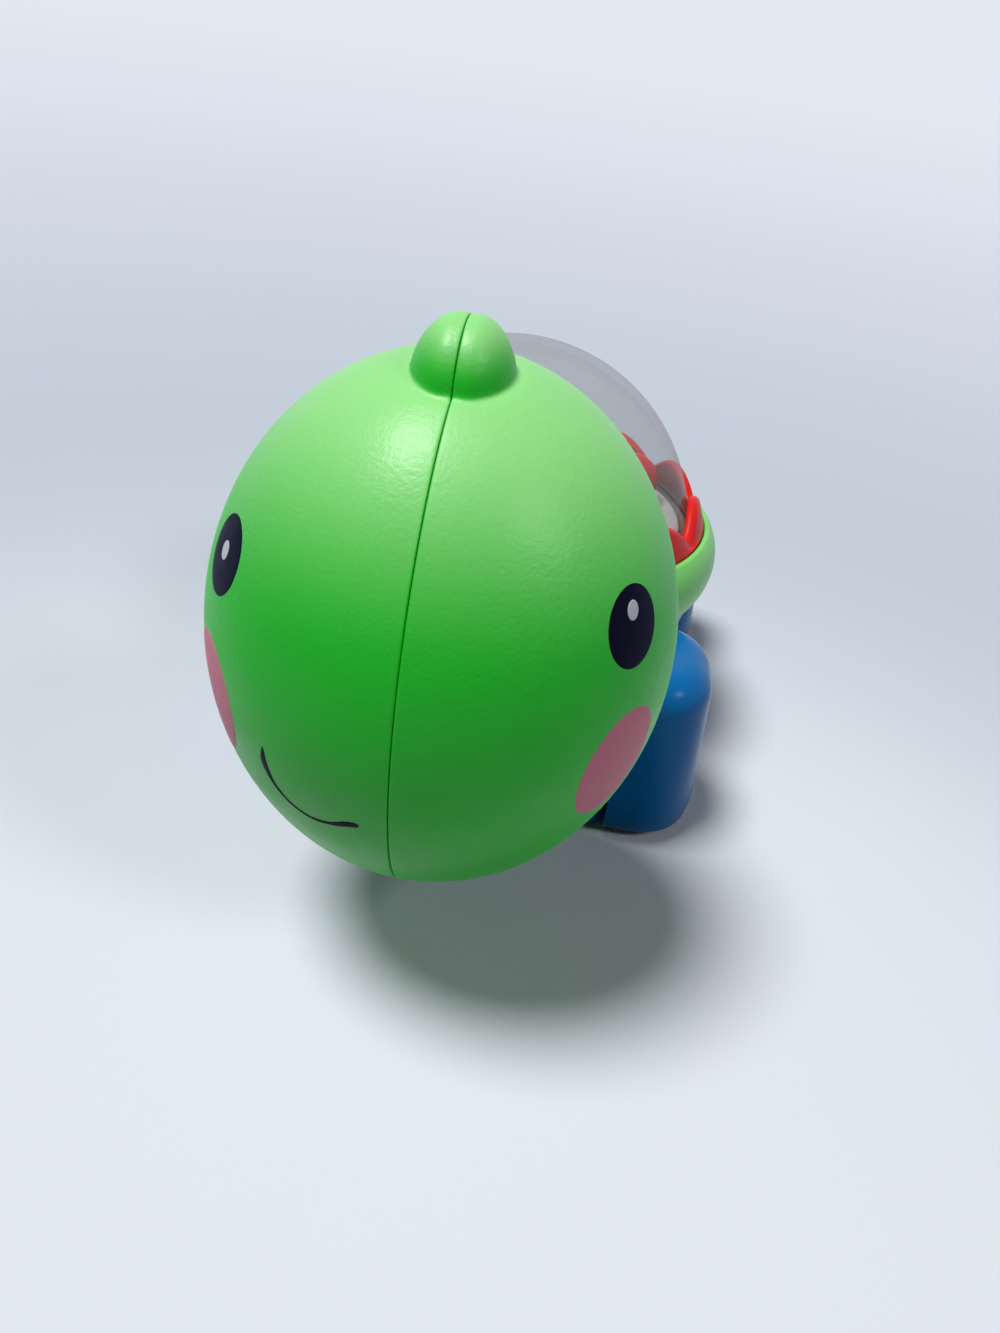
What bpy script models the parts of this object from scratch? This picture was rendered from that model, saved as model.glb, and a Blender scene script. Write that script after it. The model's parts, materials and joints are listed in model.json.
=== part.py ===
"""A push-along turtle toy: a two-part head, a clear ball dome on a fat rim, and feet that hide wheels.

Run it with blender --background --python part.py, or from Blender's text editor.
Units are metres, +Z is up, the turtle faces -Y and the floor is at Z 0.
The toy's own left is +X.
"""

import math

import bmesh
import bpy
from mathutils import Matrix, Vector

MM = 0.001

# Head: an egg in two halves that meet on the plane X 0
HEAD_WIDTH = 88 * MM
HEAD_DEPTH = 83 * MM
HEAD_HEIGHT = 105 * MM
HEAD_DROP = 21.5 * MM
HEAD_STANDOFF = 0.5 * MM
HEAD_WALL = 2.4 * MM

# Tuft: a round knob that sits in front of the head's highest point
TUFT_WIDTH = 18 * MM
TUFT_DEPTH = 18.6 * MM
TUFT_RISE = 8.6 * MM
TUFT_FORWARD = 7 * MM

# Shell: a clear dome, the scalloped crown round its foot and the fat rim that carries both
SHELL_LEVEL = 54.5 * MM
DOME_RADIUS = 51 * MM
DOME_WALL = 2 * MM
DOME_FLANGE = 3.6 * MM
CROWN_THICKNESS = 4.6 * MM
CROWN_EDGE = 3.1 * MM
CROWN_SPIGOT = 0.9 * MM
CROWN_PETALS = 12
CROWN_TURN = math.radians(-3.5)
CROWN_TIP = 17.4 * MM
CROWN_VALLEY = 10.6 * MM
PETAL_FULLNESS = 0.55
RIM_ROUND = 13 * MM
RIM_WALL = 2.4 * MM
RIM_LAND = 1.3 * MM
RIM_TOP_ANGLE = math.radians(42)
RIM_BOTTOM_ANGLE = math.radians(47)
LEDGE_REACH = 8 * MM
LEDGE_WALL = 2.4 * MM

# Ball tray and balls
TRAY_WALL = 2 * MM
TRAY_FALL = 5 * MM
BALL_RADIUS = 7.5 * MM
BALLS_IN_TRAY = 8
BALL_STAGGER = 3 * MM

# Lower body: a bowl under the rim, grown onto a long chassis box that holds the axles
BOWL_DEPTH = 34 * MM
BODY_WALL = 2.4 * MM
CHASSIS_INSET = 19.1 * MM
CHASSIS_CORNER = 4 * MM
CHASSIS_HEADROOM = 1 * MM
GROUND_CLEARANCE = 3 * MM
PLATE_THICKNESS = 3.2 * MM

# Wheels and axles
WHEEL_RADIUS = 13.5 * MM
WHEEL_WIDTH = 10.5 * MM
WHEEL_EDGE = 1.6 * MM
WHEEL_HUB = 5 * MM
WHEEL_RIM = 2.6 * MM
WHEEL_DISH = 2 * MM
WHEEL_INSET = 14 * MM
WHEEL_SIDE_GAP = 3.3 * MM
AXLE_RADIUS = 2 * MM
AXLE_INSET = 1.5 * MM
AXLE_ROOM = 1 * MM
TYRE_WIDTH = 6 * MM
TYRE_THICKNESS = 1.4 * MM
TYRE_PROUD = 0.4 * MM

# Feet: hollow covers over the wheels
FOOT_TOP = 48 * MM
FOOT_BOTTOM = 2.5 * MM
FOOT_WALL = 2.4 * MM
FOOT_END_ROOM = 2.4 * MM
FOOT_SIDE_ROOM = 6.4 * MM
FOOT_CORNER = 15 * MM
FOOT_CROWN = 11 * MM
FOOT_DRAFT = 2.6 * MM

# Popper: a cam on the rear axle flicks a hinged arm up under the balls
CAM_LOBE = 1.6 * MM
CAM_LOBES = 4
CAM_WIDTH = 8 * MM
CAM_FLOOR_GAP = 0.8 * MM
CAM_CLEARANCE = 0.5 * MM
ARM_BEAM_WIDTH = 10 * MM
ARM_HUB_WIDTH = 14 * MM
ARM_HUB = 3.4 * MM
ARM_THICKNESS = 4.2 * MM
ARM_POST = 8 * MM
ARM_END_GAP = 1 * MM
POPPER_RADIUS = 13 * MM
POPPER_THICKNESS = 2.5 * MM
POPPER_DROP = 1 * MM
POPPER_ROOM = 6 * MM
PIN_OFFSET = 8.6 * MM
PIN_RADIUS = 1.5 * MM
LUG_WIDTH = 2.5 * MM
LUG_LENGTH = 8 * MM
STOP_LENGTH = 4 * MM
STOP_AHEAD = 27 * MM

# Neck: a grooved post held where rim and lower body part, with the head's halves closed round its groove
NECK_RADIUS = 10 * MM
NECK_GROOVE = 2 * MM
NECK_FLANGE = 2 * MM
NECK_DISC = 2.5 * MM

# Screws in the bottom plate
SCREW_HEAD = 3 * MM
SCREW_FACE = 2.1 * MM
SCREW_HEAD_DEPTH = 1.6 * MM
SCREW_RECESS = 0.2 * MM
SCREW_SHANK = 1.5 * MM
SCREW_LENGTH = 12 * MM
BOSS_WALL = 1.8 * MM
BOSS_INSET = 5.5 * MM

# Gap between pieces that touch, and how far a cutter runs past what it cuts
FIT = 0.3 * MM
PAST = 2 * MM

# Facets
HEAD_FACETS = (28, 16)
TUFT_FACETS = (20, 12)
BALL_FACETS = (12, 8)
TURN_STEPS = 32
WHEEL_STEPS = 20
ROD_STEPS = 16
SCREW_STEPS = 10
LOBE_STEPS = 8
PETAL_STEPS = 6
CROWN_ROWS = 3
DOME_POINTS = 9
RIM_POINTS = 8
RIM_HOLLOW_POINTS = 5
BOWL_POINTS = 8
CHASSIS_CORNER_STEPS = 3
FOOT_CORNER_STEPS = 5
FOOT_CROWN_STEPS = 4
SHARP_ANGLE = math.radians(40)

# Shell, from the dome outwards; heights are from the floor
DOME_FLANGE_RADIUS = DOME_RADIUS + DOME_FLANGE
SEAT_RADIUS = DOME_FLANGE_RADIUS + FIT
RIM_RADIUS = SEAT_RADIUS + RIM_LAND + RIM_ROUND * (1 - math.cos(RIM_TOP_ANGLE))
RIM_CORE = RIM_RADIUS - RIM_ROUND
RIM_TOP = SHELL_LEVEL + RIM_ROUND * math.sin(RIM_TOP_ANGLE)
PARTING = SHELL_LEVEL - RIM_ROUND * math.sin(RIM_BOTTOM_ANGLE)
CROWN_FOOT = RIM_TOP - CROWN_SPIGOT
LEDGE = CROWN_FOOT - DOME_WALL - 2 * FIT
LEDGE_RADIUS = SEAT_RADIUS - LEDGE_REACH

# Tray, with the popper's hole in the middle
TRAY_TOP = LEDGE + FIT + TRAY_WALL
TRAY_RADIUS = math.sqrt((DOME_RADIUS - DOME_WALL) ** 2 - (TRAY_TOP - SHELL_LEVEL) ** 2) - FIT
TRAY_WELL = LEDGE_RADIUS - FIT
TRAY_HOLE = POPPER_RADIUS + POPPER_ROOM
POPPER_TOP = TRAY_TOP - TRAY_FALL - POPPER_DROP

# Lower body; lengths along Y are from the shell's axis
BOWL_TOP = PARTING - FIT
BOWL_RADIUS = RIM_CORE + RIM_ROUND * math.cos(RIM_BOTTOM_ANGLE) - FIT
CHASSIS_SIDE = RIM_RADIUS - CHASSIS_INSET
CAVITY_SIDE = CHASSIS_SIDE - BODY_WALL
AXLE_LEVEL = WHEEL_RADIUS
AXLE_Y = RIM_RADIUS - WHEEL_INSET
PLATE_TOP = GROUND_CLEARANCE + PLATE_THICKNESS
CAM_REACH = AXLE_LEVEL - PLATE_TOP - CAM_FLOOR_GAP
ARM_UNDERSIDE = AXLE_LEVEL + CAM_REACH + CAM_CLEARANCE
PIN_LEVEL = ARM_UNDERSIDE + ARM_HUB
PIN_Y = AXLE_Y + PIN_OFFSET
CAVITY_END = PIN_Y + max(LUG_LENGTH / 2, ARM_HUB) + ARM_END_GAP
CHASSIS_END = CAVITY_END + BODY_WALL
CAVITY_TOP = PIN_LEVEL + ARM_HUB + CHASSIS_HEADROOM
CHASSIS_TOP = CAVITY_TOP + BODY_WALL

# Wheels and feet
WHEEL_INNER = CHASSIS_SIDE + WHEEL_SIDE_GAP
WHEEL_OUTER = WHEEL_INNER + WHEEL_WIDTH
FOOT_INNER = CHASSIS_SIDE + FIT
FOOT_OUTER = WHEEL_OUTER + FOOT_SIDE_ROOM + FOOT_WALL
FOOT_HALF = WHEEL_RADIUS + FOOT_END_ROOM + FOOT_WALL

# Head and the toy's place in its own frame: the box round the whole toy is centred on the origin
HEAD_RADII = Vector((HEAD_WIDTH, HEAD_DEPTH, HEAD_HEIGHT)) / 2
HEAD_AWAY = RIM_RADIUS + HEAD_RADII.y + HEAD_STANDOFF
NECK_LEVEL = PARTING - FIT / 2
FRONT_REACH = HEAD_AWAY + HEAD_RADII.y
BACK_REACH = max(RIM_RADIUS, AXLE_Y + FOOT_HALF, CHASSIS_END)
SHELL_Y = (FRONT_REACH - BACK_REACH) / 2
HEAD_LEVEL = NECK_LEVEL - HEAD_DROP + HEAD_RADII.z

FINISHES = {
    "green": ((0.19, 0.66, 0.13), 0.34, 1.0, 0.0),
    "rim green": ((0.27, 0.66, 0.17), 0.34, 1.0, 0.0),
    "red": ((0.62, 0.05, 0.035), 0.3, 1.0, 0.0),
    "blue": ((0.006, 0.19, 0.5), 0.32, 1.0, 0.0),
    "dark blue": ((0.01, 0.09, 0.28), 0.4, 1.0, 0.0),
    "clear": ((0.86, 0.9, 0.92), 0.06, 0.25, 0.0),
    "yellow": ((0.85, 0.52, 0.02), 0.35, 1.0, 0.0),
    "orange": ((0.8, 0.2, 0.02), 0.3, 1.0, 0.0),
    "white": ((0.75, 0.75, 0.72), 0.4, 1.0, 0.0),
    "rubber": ((0.03, 0.03, 0.035), 0.8, 1.0, 0.0),
    "steel": ((0.55, 0.56, 0.58), 0.3, 1.0, 1.0),
}
BALL_FINISHES = ("red", "yellow", "blue", "orange", "green")


def clear_scene():
    for made in list(bpy.data.objects):
        bpy.data.objects.remove(made)


def collection(name):
    found = bpy.data.collections.get(name)
    if not found:
        found = bpy.data.collections.new(name)
        bpy.context.scene.collection.children.link(found)
    return found


def finish(name):
    """The finish of this name, made on its first use."""
    found = bpy.data.materials.get(name)
    if not found:
        colour, roughness, alpha, metallic = FINISHES[name]
        found = bpy.data.materials.new(name)
        found.use_nodes = True
        shader = found.node_tree.nodes["Principled BSDF"]
        shader.inputs["Base Color"].default_value = (*colour, 1)
        shader.inputs["Roughness"].default_value = roughness
        shader.inputs["Metallic"].default_value = metallic
        shader.inputs["Alpha"].default_value = alpha
    return found


def add(name, data, look, place):
    """A piece with its look, or a cutter if it has none."""
    made = bpy.data.objects.new(name, data)
    made.location = place
    if look:
        data.materials.append(finish(look))
        collection("rolling_baby_toy").objects.link(made)
    else:
        collection("cutters").objects.link(made)
        made.hide_render = True
        made.display_type = "WIRE"
    return made


def add_mesh(name, bm, look, place):
    mesh = bpy.data.meshes.new(name)
    bmesh.ops.recalc_face_normals(bm, faces=bm.faces)
    bm.to_mesh(mesh)
    bm.free()
    mesh.shade_smooth()
    mesh.set_sharp_from_angle(angle=SHARP_ANGLE)
    return add(name, mesh, look, place)


def from_shell(x, y, z):
    """A point given from the shell's axis, in the toy's frame."""
    return Vector((x, SHELL_Y + y, z))


def upright_edges(bm):
    return [e for e in bm.edges if abs(e.verts[0].co.z - e.verts[1].co.z) > FIT]


def block(name, low, high, look=None, corner=0.0):
    """A box between two corners given from the shell's axis, with its upright edges rounded."""
    low, high = from_shell(*low), from_shell(*high)
    bm = bmesh.new()
    bmesh.ops.create_cube(bm, size=1)
    bmesh.ops.scale(bm, vec=high - low, verts=bm.verts)
    if corner:
        bmesh.ops.bevel(bm, geom=upright_edges(bm), offset=corner, segments=CHASSIS_CORNER_STEPS,
                        profile=0.5, affect="EDGES")
    return add_mesh(name, bm, look, (low + high) / 2)


def rod(name, radius, length, axis, place, look=None):
    """A cylinder along X, Y or Z with its middle at place."""
    bm = bmesh.new()
    bmesh.ops.create_cone(bm, cap_ends=True, segments=ROD_STEPS, radius1=radius, radius2=radius,
                          depth=length)
    if axis != "Z":
        about = {"X": "Y", "Y": "X"}[axis]
        bmesh.ops.rotate(bm, matrix=Matrix.Rotation(math.pi / 2, 3, about), verts=bm.verts)
    return add_mesh(name, bm, look, place)


def egg(name, radii, place, facets, look=None):
    bm = bmesh.new()
    bmesh.ops.create_uvsphere(bm, u_segments=facets[0], v_segments=facets[1], radius=1)
    bmesh.ops.scale(bm, vec=radii, verts=bm.verts)
    return add_mesh(name, bm, look, place)


def turned(name, profile, place, look=None, steps=TURN_STEPS, ring=True):
    """A shape turned about its own Z from (radius, height) points, outer side first and downwards."""
    bm = bmesh.new()
    points = [bm.verts.new((radius, 0, height)) for radius, height in profile]
    for start, end in zip(points, points[1:]):
        bm.edges.new((start, end))
    if ring:
        bm.edges.new((points[-1], points[0]))
    mesh = bpy.data.meshes.new(name)
    bm.to_mesh(mesh)
    bm.free()
    made = add(name, mesh, look, place)
    screw = made.modifiers.new("turn", "SCREW")
    screw.steps = screw.render_steps = steps
    screw.use_merge_vertices = True
    screw.merge_threshold = 0.00001
    return made


def arc(centre, radius, start, end, count):
    """Points (radius, height) on an arc between two angles, both ends included."""
    angles = [start + (end - start) * i / (count - 1) for i in range(count)]
    return [(centre[0] + radius * math.cos(a), centre[1] + radius * math.sin(a)) for a in angles]


def cut(piece, tool, operation="DIFFERENCE"):
    boolean = piece.modifiers.new(tool.name, "BOOLEAN")
    boolean.object = tool
    boolean.operation = operation
    boolean.solver = "EXACT"


def join(piece, tool):
    cut(piece, tool, "UNION")


def group(name, place, pieces):
    """Parents pieces that turn together to an empty on their axis, and leaves them where they are."""
    axis = bpy.data.objects.new(name, None)
    axis.location = place
    collection("rolling_baby_toy").objects.link(axis)
    for piece in pieces:
        piece.parent = axis
        piece.matrix_parent_inverse = Matrix.Translation(-place)


def head_back(level, inset):
    """How far ahead of the shell's axis the head's back surface lies at a height, set in by a wall."""
    share = (level - HEAD_LEVEL) / (HEAD_RADII.z - inset)
    return (HEAD_RADII.y - inset) * math.sqrt(1 - share * share) - HEAD_AWAY


def rim_side(grow):
    """The rim's outer side from its top edge to its bottom edge, grown by a margin."""
    radius = RIM_ROUND + grow
    top = math.asin((RIM_TOP - SHELL_LEVEL) / radius)
    bottom = math.asin((PARTING - SHELL_LEVEL) / radius)
    return arc((RIM_CORE, SHELL_LEVEL), radius, top, bottom, RIM_POINTS)


def bowl_side(grow):
    """The bowl's outer side from its top edge down to the axis, grown by a margin."""
    quarter = arc((0, 0), 1, 0, -math.pi / 2, BOWL_POINTS)
    side = [((BOWL_RADIUS + grow) * r, BOWL_TOP + (BOWL_DEPTH + grow) * z) for r, z in quarter]
    return side[:-1] + [(0, BOWL_TOP - BOWL_DEPTH - grow)]


def bowl_inside(level):
    """The bowl's inner radius at a height, on the flats of its facets."""
    down = (BOWL_TOP - level) / (BOWL_DEPTH - BODY_WALL)
    return (BOWL_RADIUS - BODY_WALL) * math.sqrt(1 - down * down) * math.cos(math.pi / TURN_STEPS)


def build_head():
    """Two thin halves with half of the tuft each, open at the back for the neck."""
    centre = from_shell(0, -HEAD_AWAY, HEAD_LEVEL)
    on_head = HEAD_RADII.z * math.sqrt(1 - (TUFT_FORWARD / HEAD_RADII.y) ** 2)
    tuft_place = centre + Vector((0, -TUFT_FORWARD, on_head))
    tuft = egg("tuft", Vector((TUFT_WIDTH / 2, TUFT_DEPTH / 2, TUFT_RISE)), tuft_place, TUFT_FACETS)
    hollow = egg("head_hollow", HEAD_RADII - Vector.Fill(3, HEAD_WALL), centre, HEAD_FACETS)
    back_of_head = from_shell(0, HEAD_RADII.y - HEAD_AWAY, NECK_LEVEL)
    neck_hole = rod("head_neck_hole", NECK_RADIUS - NECK_GROOVE + FIT, HEAD_DEPTH, "Y", back_of_head)
    far = HEAD_WIDTH + HEAD_DEPTH + HEAD_HEIGHT
    for name, side in (("head_left_half", 1), ("head_right_half", -1)):
        half = egg(name, HEAD_RADII, centre, HEAD_FACETS, "green")
        near, beyond = sorted((side * FIT / 2, -side * far))
        other_side = block(name + "_other_side", (near, -far, -far), (beyond, far, far))
        join(half, tuft)
        for tool in (hollow, neck_hole, other_side):
            cut(half, tool)


def build_neck():
    """A post along Y: flange inside the body, groove in the wall of the head, disc inside the head."""
    groove = NECK_RADIUS - NECK_GROOVE
    flange = NECK_RADIUS + NECK_FLANGE
    body_end = min(LEDGE_RADIUS, bowl_inside(NECK_LEVEL - flange)) - 2 * FIT
    shoulder = -head_back(NECK_LEVEL + NECK_RADIUS, 0) - FIT
    head_end = -head_back(NECK_LEVEL - NECK_RADIUS, HEAD_WALL) + FIT
    profile = [
        (0, head_end + NECK_DISC),
        (NECK_RADIUS, head_end + NECK_DISC),
        (NECK_RADIUS, head_end),
        (groove, head_end),
        (groove, shoulder),
        (NECK_RADIUS, shoulder),
        (NECK_RADIUS, body_end),
        (flange, body_end),
        (flange, body_end - NECK_DISC),
        (0, body_end - NECK_DISC),
    ]
    neck = turned("neck_post", profile, from_shell(0, 0, NECK_LEVEL), "green", WHEEL_STEPS, ring=False)
    neck.rotation_euler = (math.pi / 2, 0, 0)


def build_rim(neck_hole):
    """A fat hollow band with a ledge inside for dome and tray."""
    hollow = RIM_ROUND - RIM_WALL
    under_ledge = LEDGE - LEDGE_WALL
    low = math.asin((PARTING - SHELL_LEVEL) / hollow)
    high = math.asin((under_ledge - SHELL_LEVEL) / hollow)
    inside = arc((RIM_CORE, SHELL_LEVEL), hollow, low, high, RIM_HOLLOW_POINTS)
    ledge = [(LEDGE_RADIUS, under_ledge), (LEDGE_RADIUS, LEDGE)]
    seat = [(SEAT_RADIUS, LEDGE), (SEAT_RADIUS, RIM_TOP)]
    rim = turned("shell_rim", rim_side(0) + inside + ledge + seat, from_shell(0, 0, 0), "rim green")
    cut(rim, neck_hole)


def build_dome():
    """A clear half ball with a flat flange that sits on the rim's ledge."""
    inner = DOME_RADIUS - DOME_WALL
    foot = LEDGE + FIT - SHELL_LEVEL
    over_flange = foot + DOME_WALL
    outside = arc((0, 0), DOME_RADIUS, math.pi / 2, math.asin(over_flange / DOME_RADIUS), DOME_POINTS)
    inside = arc((0, 0), inner, math.asin(foot / inner), math.pi / 2, DOME_POINTS)
    flange = [(DOME_FLANGE_RADIUS, over_flange), (DOME_FLANGE_RADIUS, foot)]
    profile = [(0, DOME_RADIUS)] + outside[1:] + flange + inside[:-1] + [(0, inner)]
    turned("clear_dome", profile, from_shell(0, 0, SHELL_LEVEL), "clear", ring=False)


def petal_height(angle):
    """Height of the crown's edge over the dome's centre: full petals with narrow valleys between them."""
    wave = (0.5 + 0.5 * math.cos(CROWN_PETALS * angle)) ** PETAL_FULLNESS
    return CROWN_VALLEY + (CROWN_TIP - CROWN_VALLEY) * wave


def build_crown():
    """A band that hugs the dome and thins towards its edge, spun round and then drawn up into petals."""
    inner = DOME_RADIUS + FIT
    foot = CROWN_FOOT - SHELL_LEVEL
    lip = RIM_TOP + FIT - SHELL_LEVEL
    shares = [i / CROWN_ROWS for i in range(CROWN_ROWS + 1)]
    levels = [lip + (CROWN_TIP - lip) * share for share in shares]
    outer = [inner + CROWN_THICKNESS + (CROWN_EDGE - CROWN_THICKNESS) * share for share in shares]
    outside = [(math.sqrt(ball**2 - z**2), z) for ball, z in zip(reversed(outer), reversed(levels))]
    spigot = [(SEAT_RADIUS - FIT, lip), (SEAT_RADIUS - FIT, foot)]
    inside = [(math.sqrt(inner**2 - z**2), z) for z in [foot] + levels]
    bm = bmesh.new()
    profile = [bm.verts.new((r, 0, z)) for r, z in outside + spigot + inside]
    edges = [bm.edges.new(pair) for pair in zip(profile, profile[1:] + profile[:1])]
    bmesh.ops.spin(bm, geom=profile + edges, cent=(0, 0, 0), axis=(0, 0, 1), angle=2 * math.pi,
                   steps=CROWN_PETALS * PETAL_STEPS, use_merge=True)
    for vert in bm.verts:
        share = (vert.co.z - lip) / (CROWN_TIP - lip)
        if share > 0:
            ball = vert.co.length
            around = math.atan2(vert.co.y, vert.co.x)
            height = lip + share * (petal_height(around) - lip)
            out = math.sqrt(ball**2 - height**2)
            vert.co = (out * math.cos(around), out * math.sin(around), height)
    crown = add_mesh("petal_crown", bm, "red", from_shell(0, 0, SHELL_LEVEL))
    crown.rotation_euler = (0, 0, CROWN_TURN)


def tray_height(radius):
    """Height of the tray's floor, which falls towards the hole in its middle."""
    return TRAY_TOP - TRAY_FALL * (TRAY_WELL - radius) / (TRAY_WELL - TRAY_HOLE)


def build_tray():
    hole = tray_height(TRAY_HOLE)
    profile = [
        (TRAY_RADIUS, TRAY_TOP),
        (TRAY_RADIUS, TRAY_TOP - TRAY_WALL),
        (TRAY_WELL, TRAY_TOP - TRAY_WALL),
        (TRAY_HOLE, hole - TRAY_WALL),
        (TRAY_HOLE, hole),
        (TRAY_WELL, TRAY_TOP),
    ]
    turned("ball_tray", profile, from_shell(0, 0, 0), "white")


def build_balls():
    """One ball on the popper, and a ring of balls near and far in turn on the tray's slope."""
    radii = Vector.Fill(3, BALL_RADIUS)
    slope = math.atan2(TRAY_FALL, TRAY_WELL - TRAY_HOLE)
    lift = (BALL_RADIUS + FIT) / math.cos(slope)
    middle = (TRAY_HOLE + TRAY_WELL) / 2
    egg("ball_0", radii, from_shell(0, 0, POPPER_TOP + FIT + BALL_RADIUS), BALL_FACETS, "white")
    for i in range(BALLS_IN_TRAY):
        away = middle + BALL_STAGGER * (-1) ** i
        around = 2 * math.pi * (i + 0.5) / BALLS_IN_TRAY
        place = from_shell(away * math.cos(around), away * math.sin(around), tray_height(away) + lift)
        egg(f"ball_{i + 1}", radii, place, BALL_FACETS, BALL_FINISHES[i % len(BALL_FINISHES)])


def boss_places():
    """Where the bottom plate is screwed on, from the shell's axis."""
    x, y = CAVITY_SIDE - BOSS_INSET, CAVITY_END - BOSS_INSET
    return [(side * x, end * y) for end in (-1, 1) for side in (-1, 1)]


def build_lower_body(neck_hole):
    """Bowl and chassis box as one hollow moulding, open at the top and at the bottom."""
    body = turned("lower_body", [(0, BOWL_TOP)] + bowl_side(0), from_shell(0, 0, 0), "blue", ring=False)
    inside = [(0, BOWL_TOP + PAST), (BOWL_RADIUS - BODY_WALL, BOWL_TOP + PAST)] + bowl_side(-BODY_WALL)
    hollow = turned("bowl_hollow", inside, from_shell(0, 0, 0), ring=False)
    low = (-CHASSIS_SIDE, -CHASSIS_END, GROUND_CLEARANCE)
    high = (CHASSIS_SIDE, CHASSIS_END, CHASSIS_TOP)
    join(body, block("chassis", low, high, corner=CHASSIS_CORNER))
    low = (-CAVITY_SIDE, -CAVITY_END, GROUND_CLEARANCE - PAST)
    high = (CAVITY_SIDE, CAVITY_END, CAVITY_TOP)
    cavity = block("cavity", low, high, corner=CHASSIS_CORNER - BODY_WALL)
    for tool in (hollow, cavity, neck_hole):
        cut(body, tool)
    boss_foot = PLATE_TOP + FIT
    boss_length = CAVITY_TOP + BODY_WALL / 2 - boss_foot
    screw_end = GROUND_CLEARANCE + SCREW_RECESS + SCREW_HEAD_DEPTH + SCREW_LENGTH
    hole_length = screw_end + FIT - GROUND_CLEARANCE
    for i, (x, y) in enumerate(boss_places()):
        middle = from_shell(x, y, boss_foot + boss_length / 2)
        join(body, rod(f"boss_{i}", SCREW_SHANK + FIT + BOSS_WALL, boss_length, "Z", middle))
        middle = from_shell(x, y, GROUND_CLEARANCE + hole_length / 2)
        cut(body, rod(f"boss_hole_{i}", SCREW_SHANK + FIT, hole_length, "Z", middle))
    for name, y in (("front_axle_hole", -AXLE_Y), ("rear_axle_hole", AXLE_Y)):
        cut(body, rod(name, AXLE_RADIUS + FIT, 2 * CHASSIS_SIDE + PAST, "X", from_shell(0, y, AXLE_LEVEL)))


def build_bottom_plate():
    """Closes the chassis from below, and carries the popper's pin in two lugs and a stop under its arm."""
    side, end = CAVITY_SIDE - FIT, CAVITY_END - FIT
    low, high = (-side, -end, GROUND_CLEARANCE), (side, end, PLATE_TOP)
    plate = block("bottom_plate", low, high, "dark blue", CHASSIS_CORNER - BODY_WALL)
    lug_inner = ARM_HUB_WIDTH / 2 + FIT
    lug_foot = PLATE_TOP - PLATE_THICKNESS / 2
    for name, x in (("left_lug", lug_inner), ("right_lug", -lug_inner - LUG_WIDTH)):
        low = (x, PIN_Y - LUG_LENGTH / 2, lug_foot)
        high = (x + LUG_WIDTH, PIN_Y + LUG_LENGTH / 2, PIN_LEVEL + ARM_HUB)
        join(plate, block(name, low, high))
    stop = AXLE_Y - STOP_AHEAD
    half = ARM_BEAM_WIDTH / 2
    join(plate, block("stop", (-half, stop, lug_foot), (half, stop + STOP_LENGTH, ARM_UNDERSIDE - FIT)))
    pin_hole = 2 * (lug_inner + LUG_WIDTH) + PAST
    cut(plate, rod("pin_hole", PIN_RADIUS + FIT, pin_hole, "X", from_shell(0, PIN_Y, PIN_LEVEL)))
    recess = SCREW_RECESS + SCREW_HEAD_DEPTH + FIT
    for i, (x, y) in enumerate(boss_places()):
        place = from_shell(x, y, GROUND_CLEARANCE)
        cut(plate, rod(f"screw_recess_{i}", SCREW_HEAD + FIT, 2 * recess, "Z", place))
        cut(plate, rod(f"screw_hole_{i}", SCREW_SHANK + FIT, 2 * (PLATE_THICKNESS + PAST), "Z", place))


def build_screws():
    """Pan-head screws, heads down, in the bottom plate's recesses."""
    top = SCREW_HEAD_DEPTH
    profile = [
        (0, top + SCREW_LENGTH),
        (SCREW_SHANK / 2, top + SCREW_LENGTH),
        (SCREW_SHANK, top + SCREW_LENGTH - SCREW_SHANK),
        (SCREW_SHANK, top),
        (SCREW_HEAD, top),
        (SCREW_HEAD, top / 2),
        (SCREW_FACE, 0),
        (0, 0),
    ]
    for i, (x, y) in enumerate(boss_places()):
        place = from_shell(x, y, GROUND_CLEARANCE + SCREW_RECESS)
        turned(f"plate_screw_{i + 1}", profile, place, "steel", SCREW_STEPS, ring=False)


def body_envelope(name, grow):
    """The rim and the bowl as one solid, grown by a margin, to shape the feet to them."""
    profile = [(0, RIM_TOP)] + rim_side(grow) + bowl_side(grow)
    return turned(name, profile, from_shell(0, 0, 0), ring=False)


def build_feet():
    """Covers rounded on their outer side, shaped to the bowl and the rim, with slots for the axles."""
    envelope = body_envelope("foot_envelope", FIT)
    hollow_envelope = body_envelope("foot_hollow_envelope", FIT + FOOT_WALL)
    slot_side = FOOT_INNER + FOOT_WALL + FIT
    slot_half = AXLE_RADIUS + AXLE_ROOM
    for name, side, end in wheel_corners("foot"):
        foot = foot_block(name, side, end, 0, "blue")
        hollow = foot_block(name + "_hollow", side, end, FOOT_WALL, None)
        cut(hollow, hollow_envelope)
        cut(foot, hollow)
        cut(foot, envelope)
        low = (-slot_side, end * AXLE_Y - slot_half, FOOT_BOTTOM - PAST)
        high = (slot_side, end * AXLE_Y + slot_half, AXLE_LEVEL + slot_half)
        cut(foot, block(name + "_slot", low, high))


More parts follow.
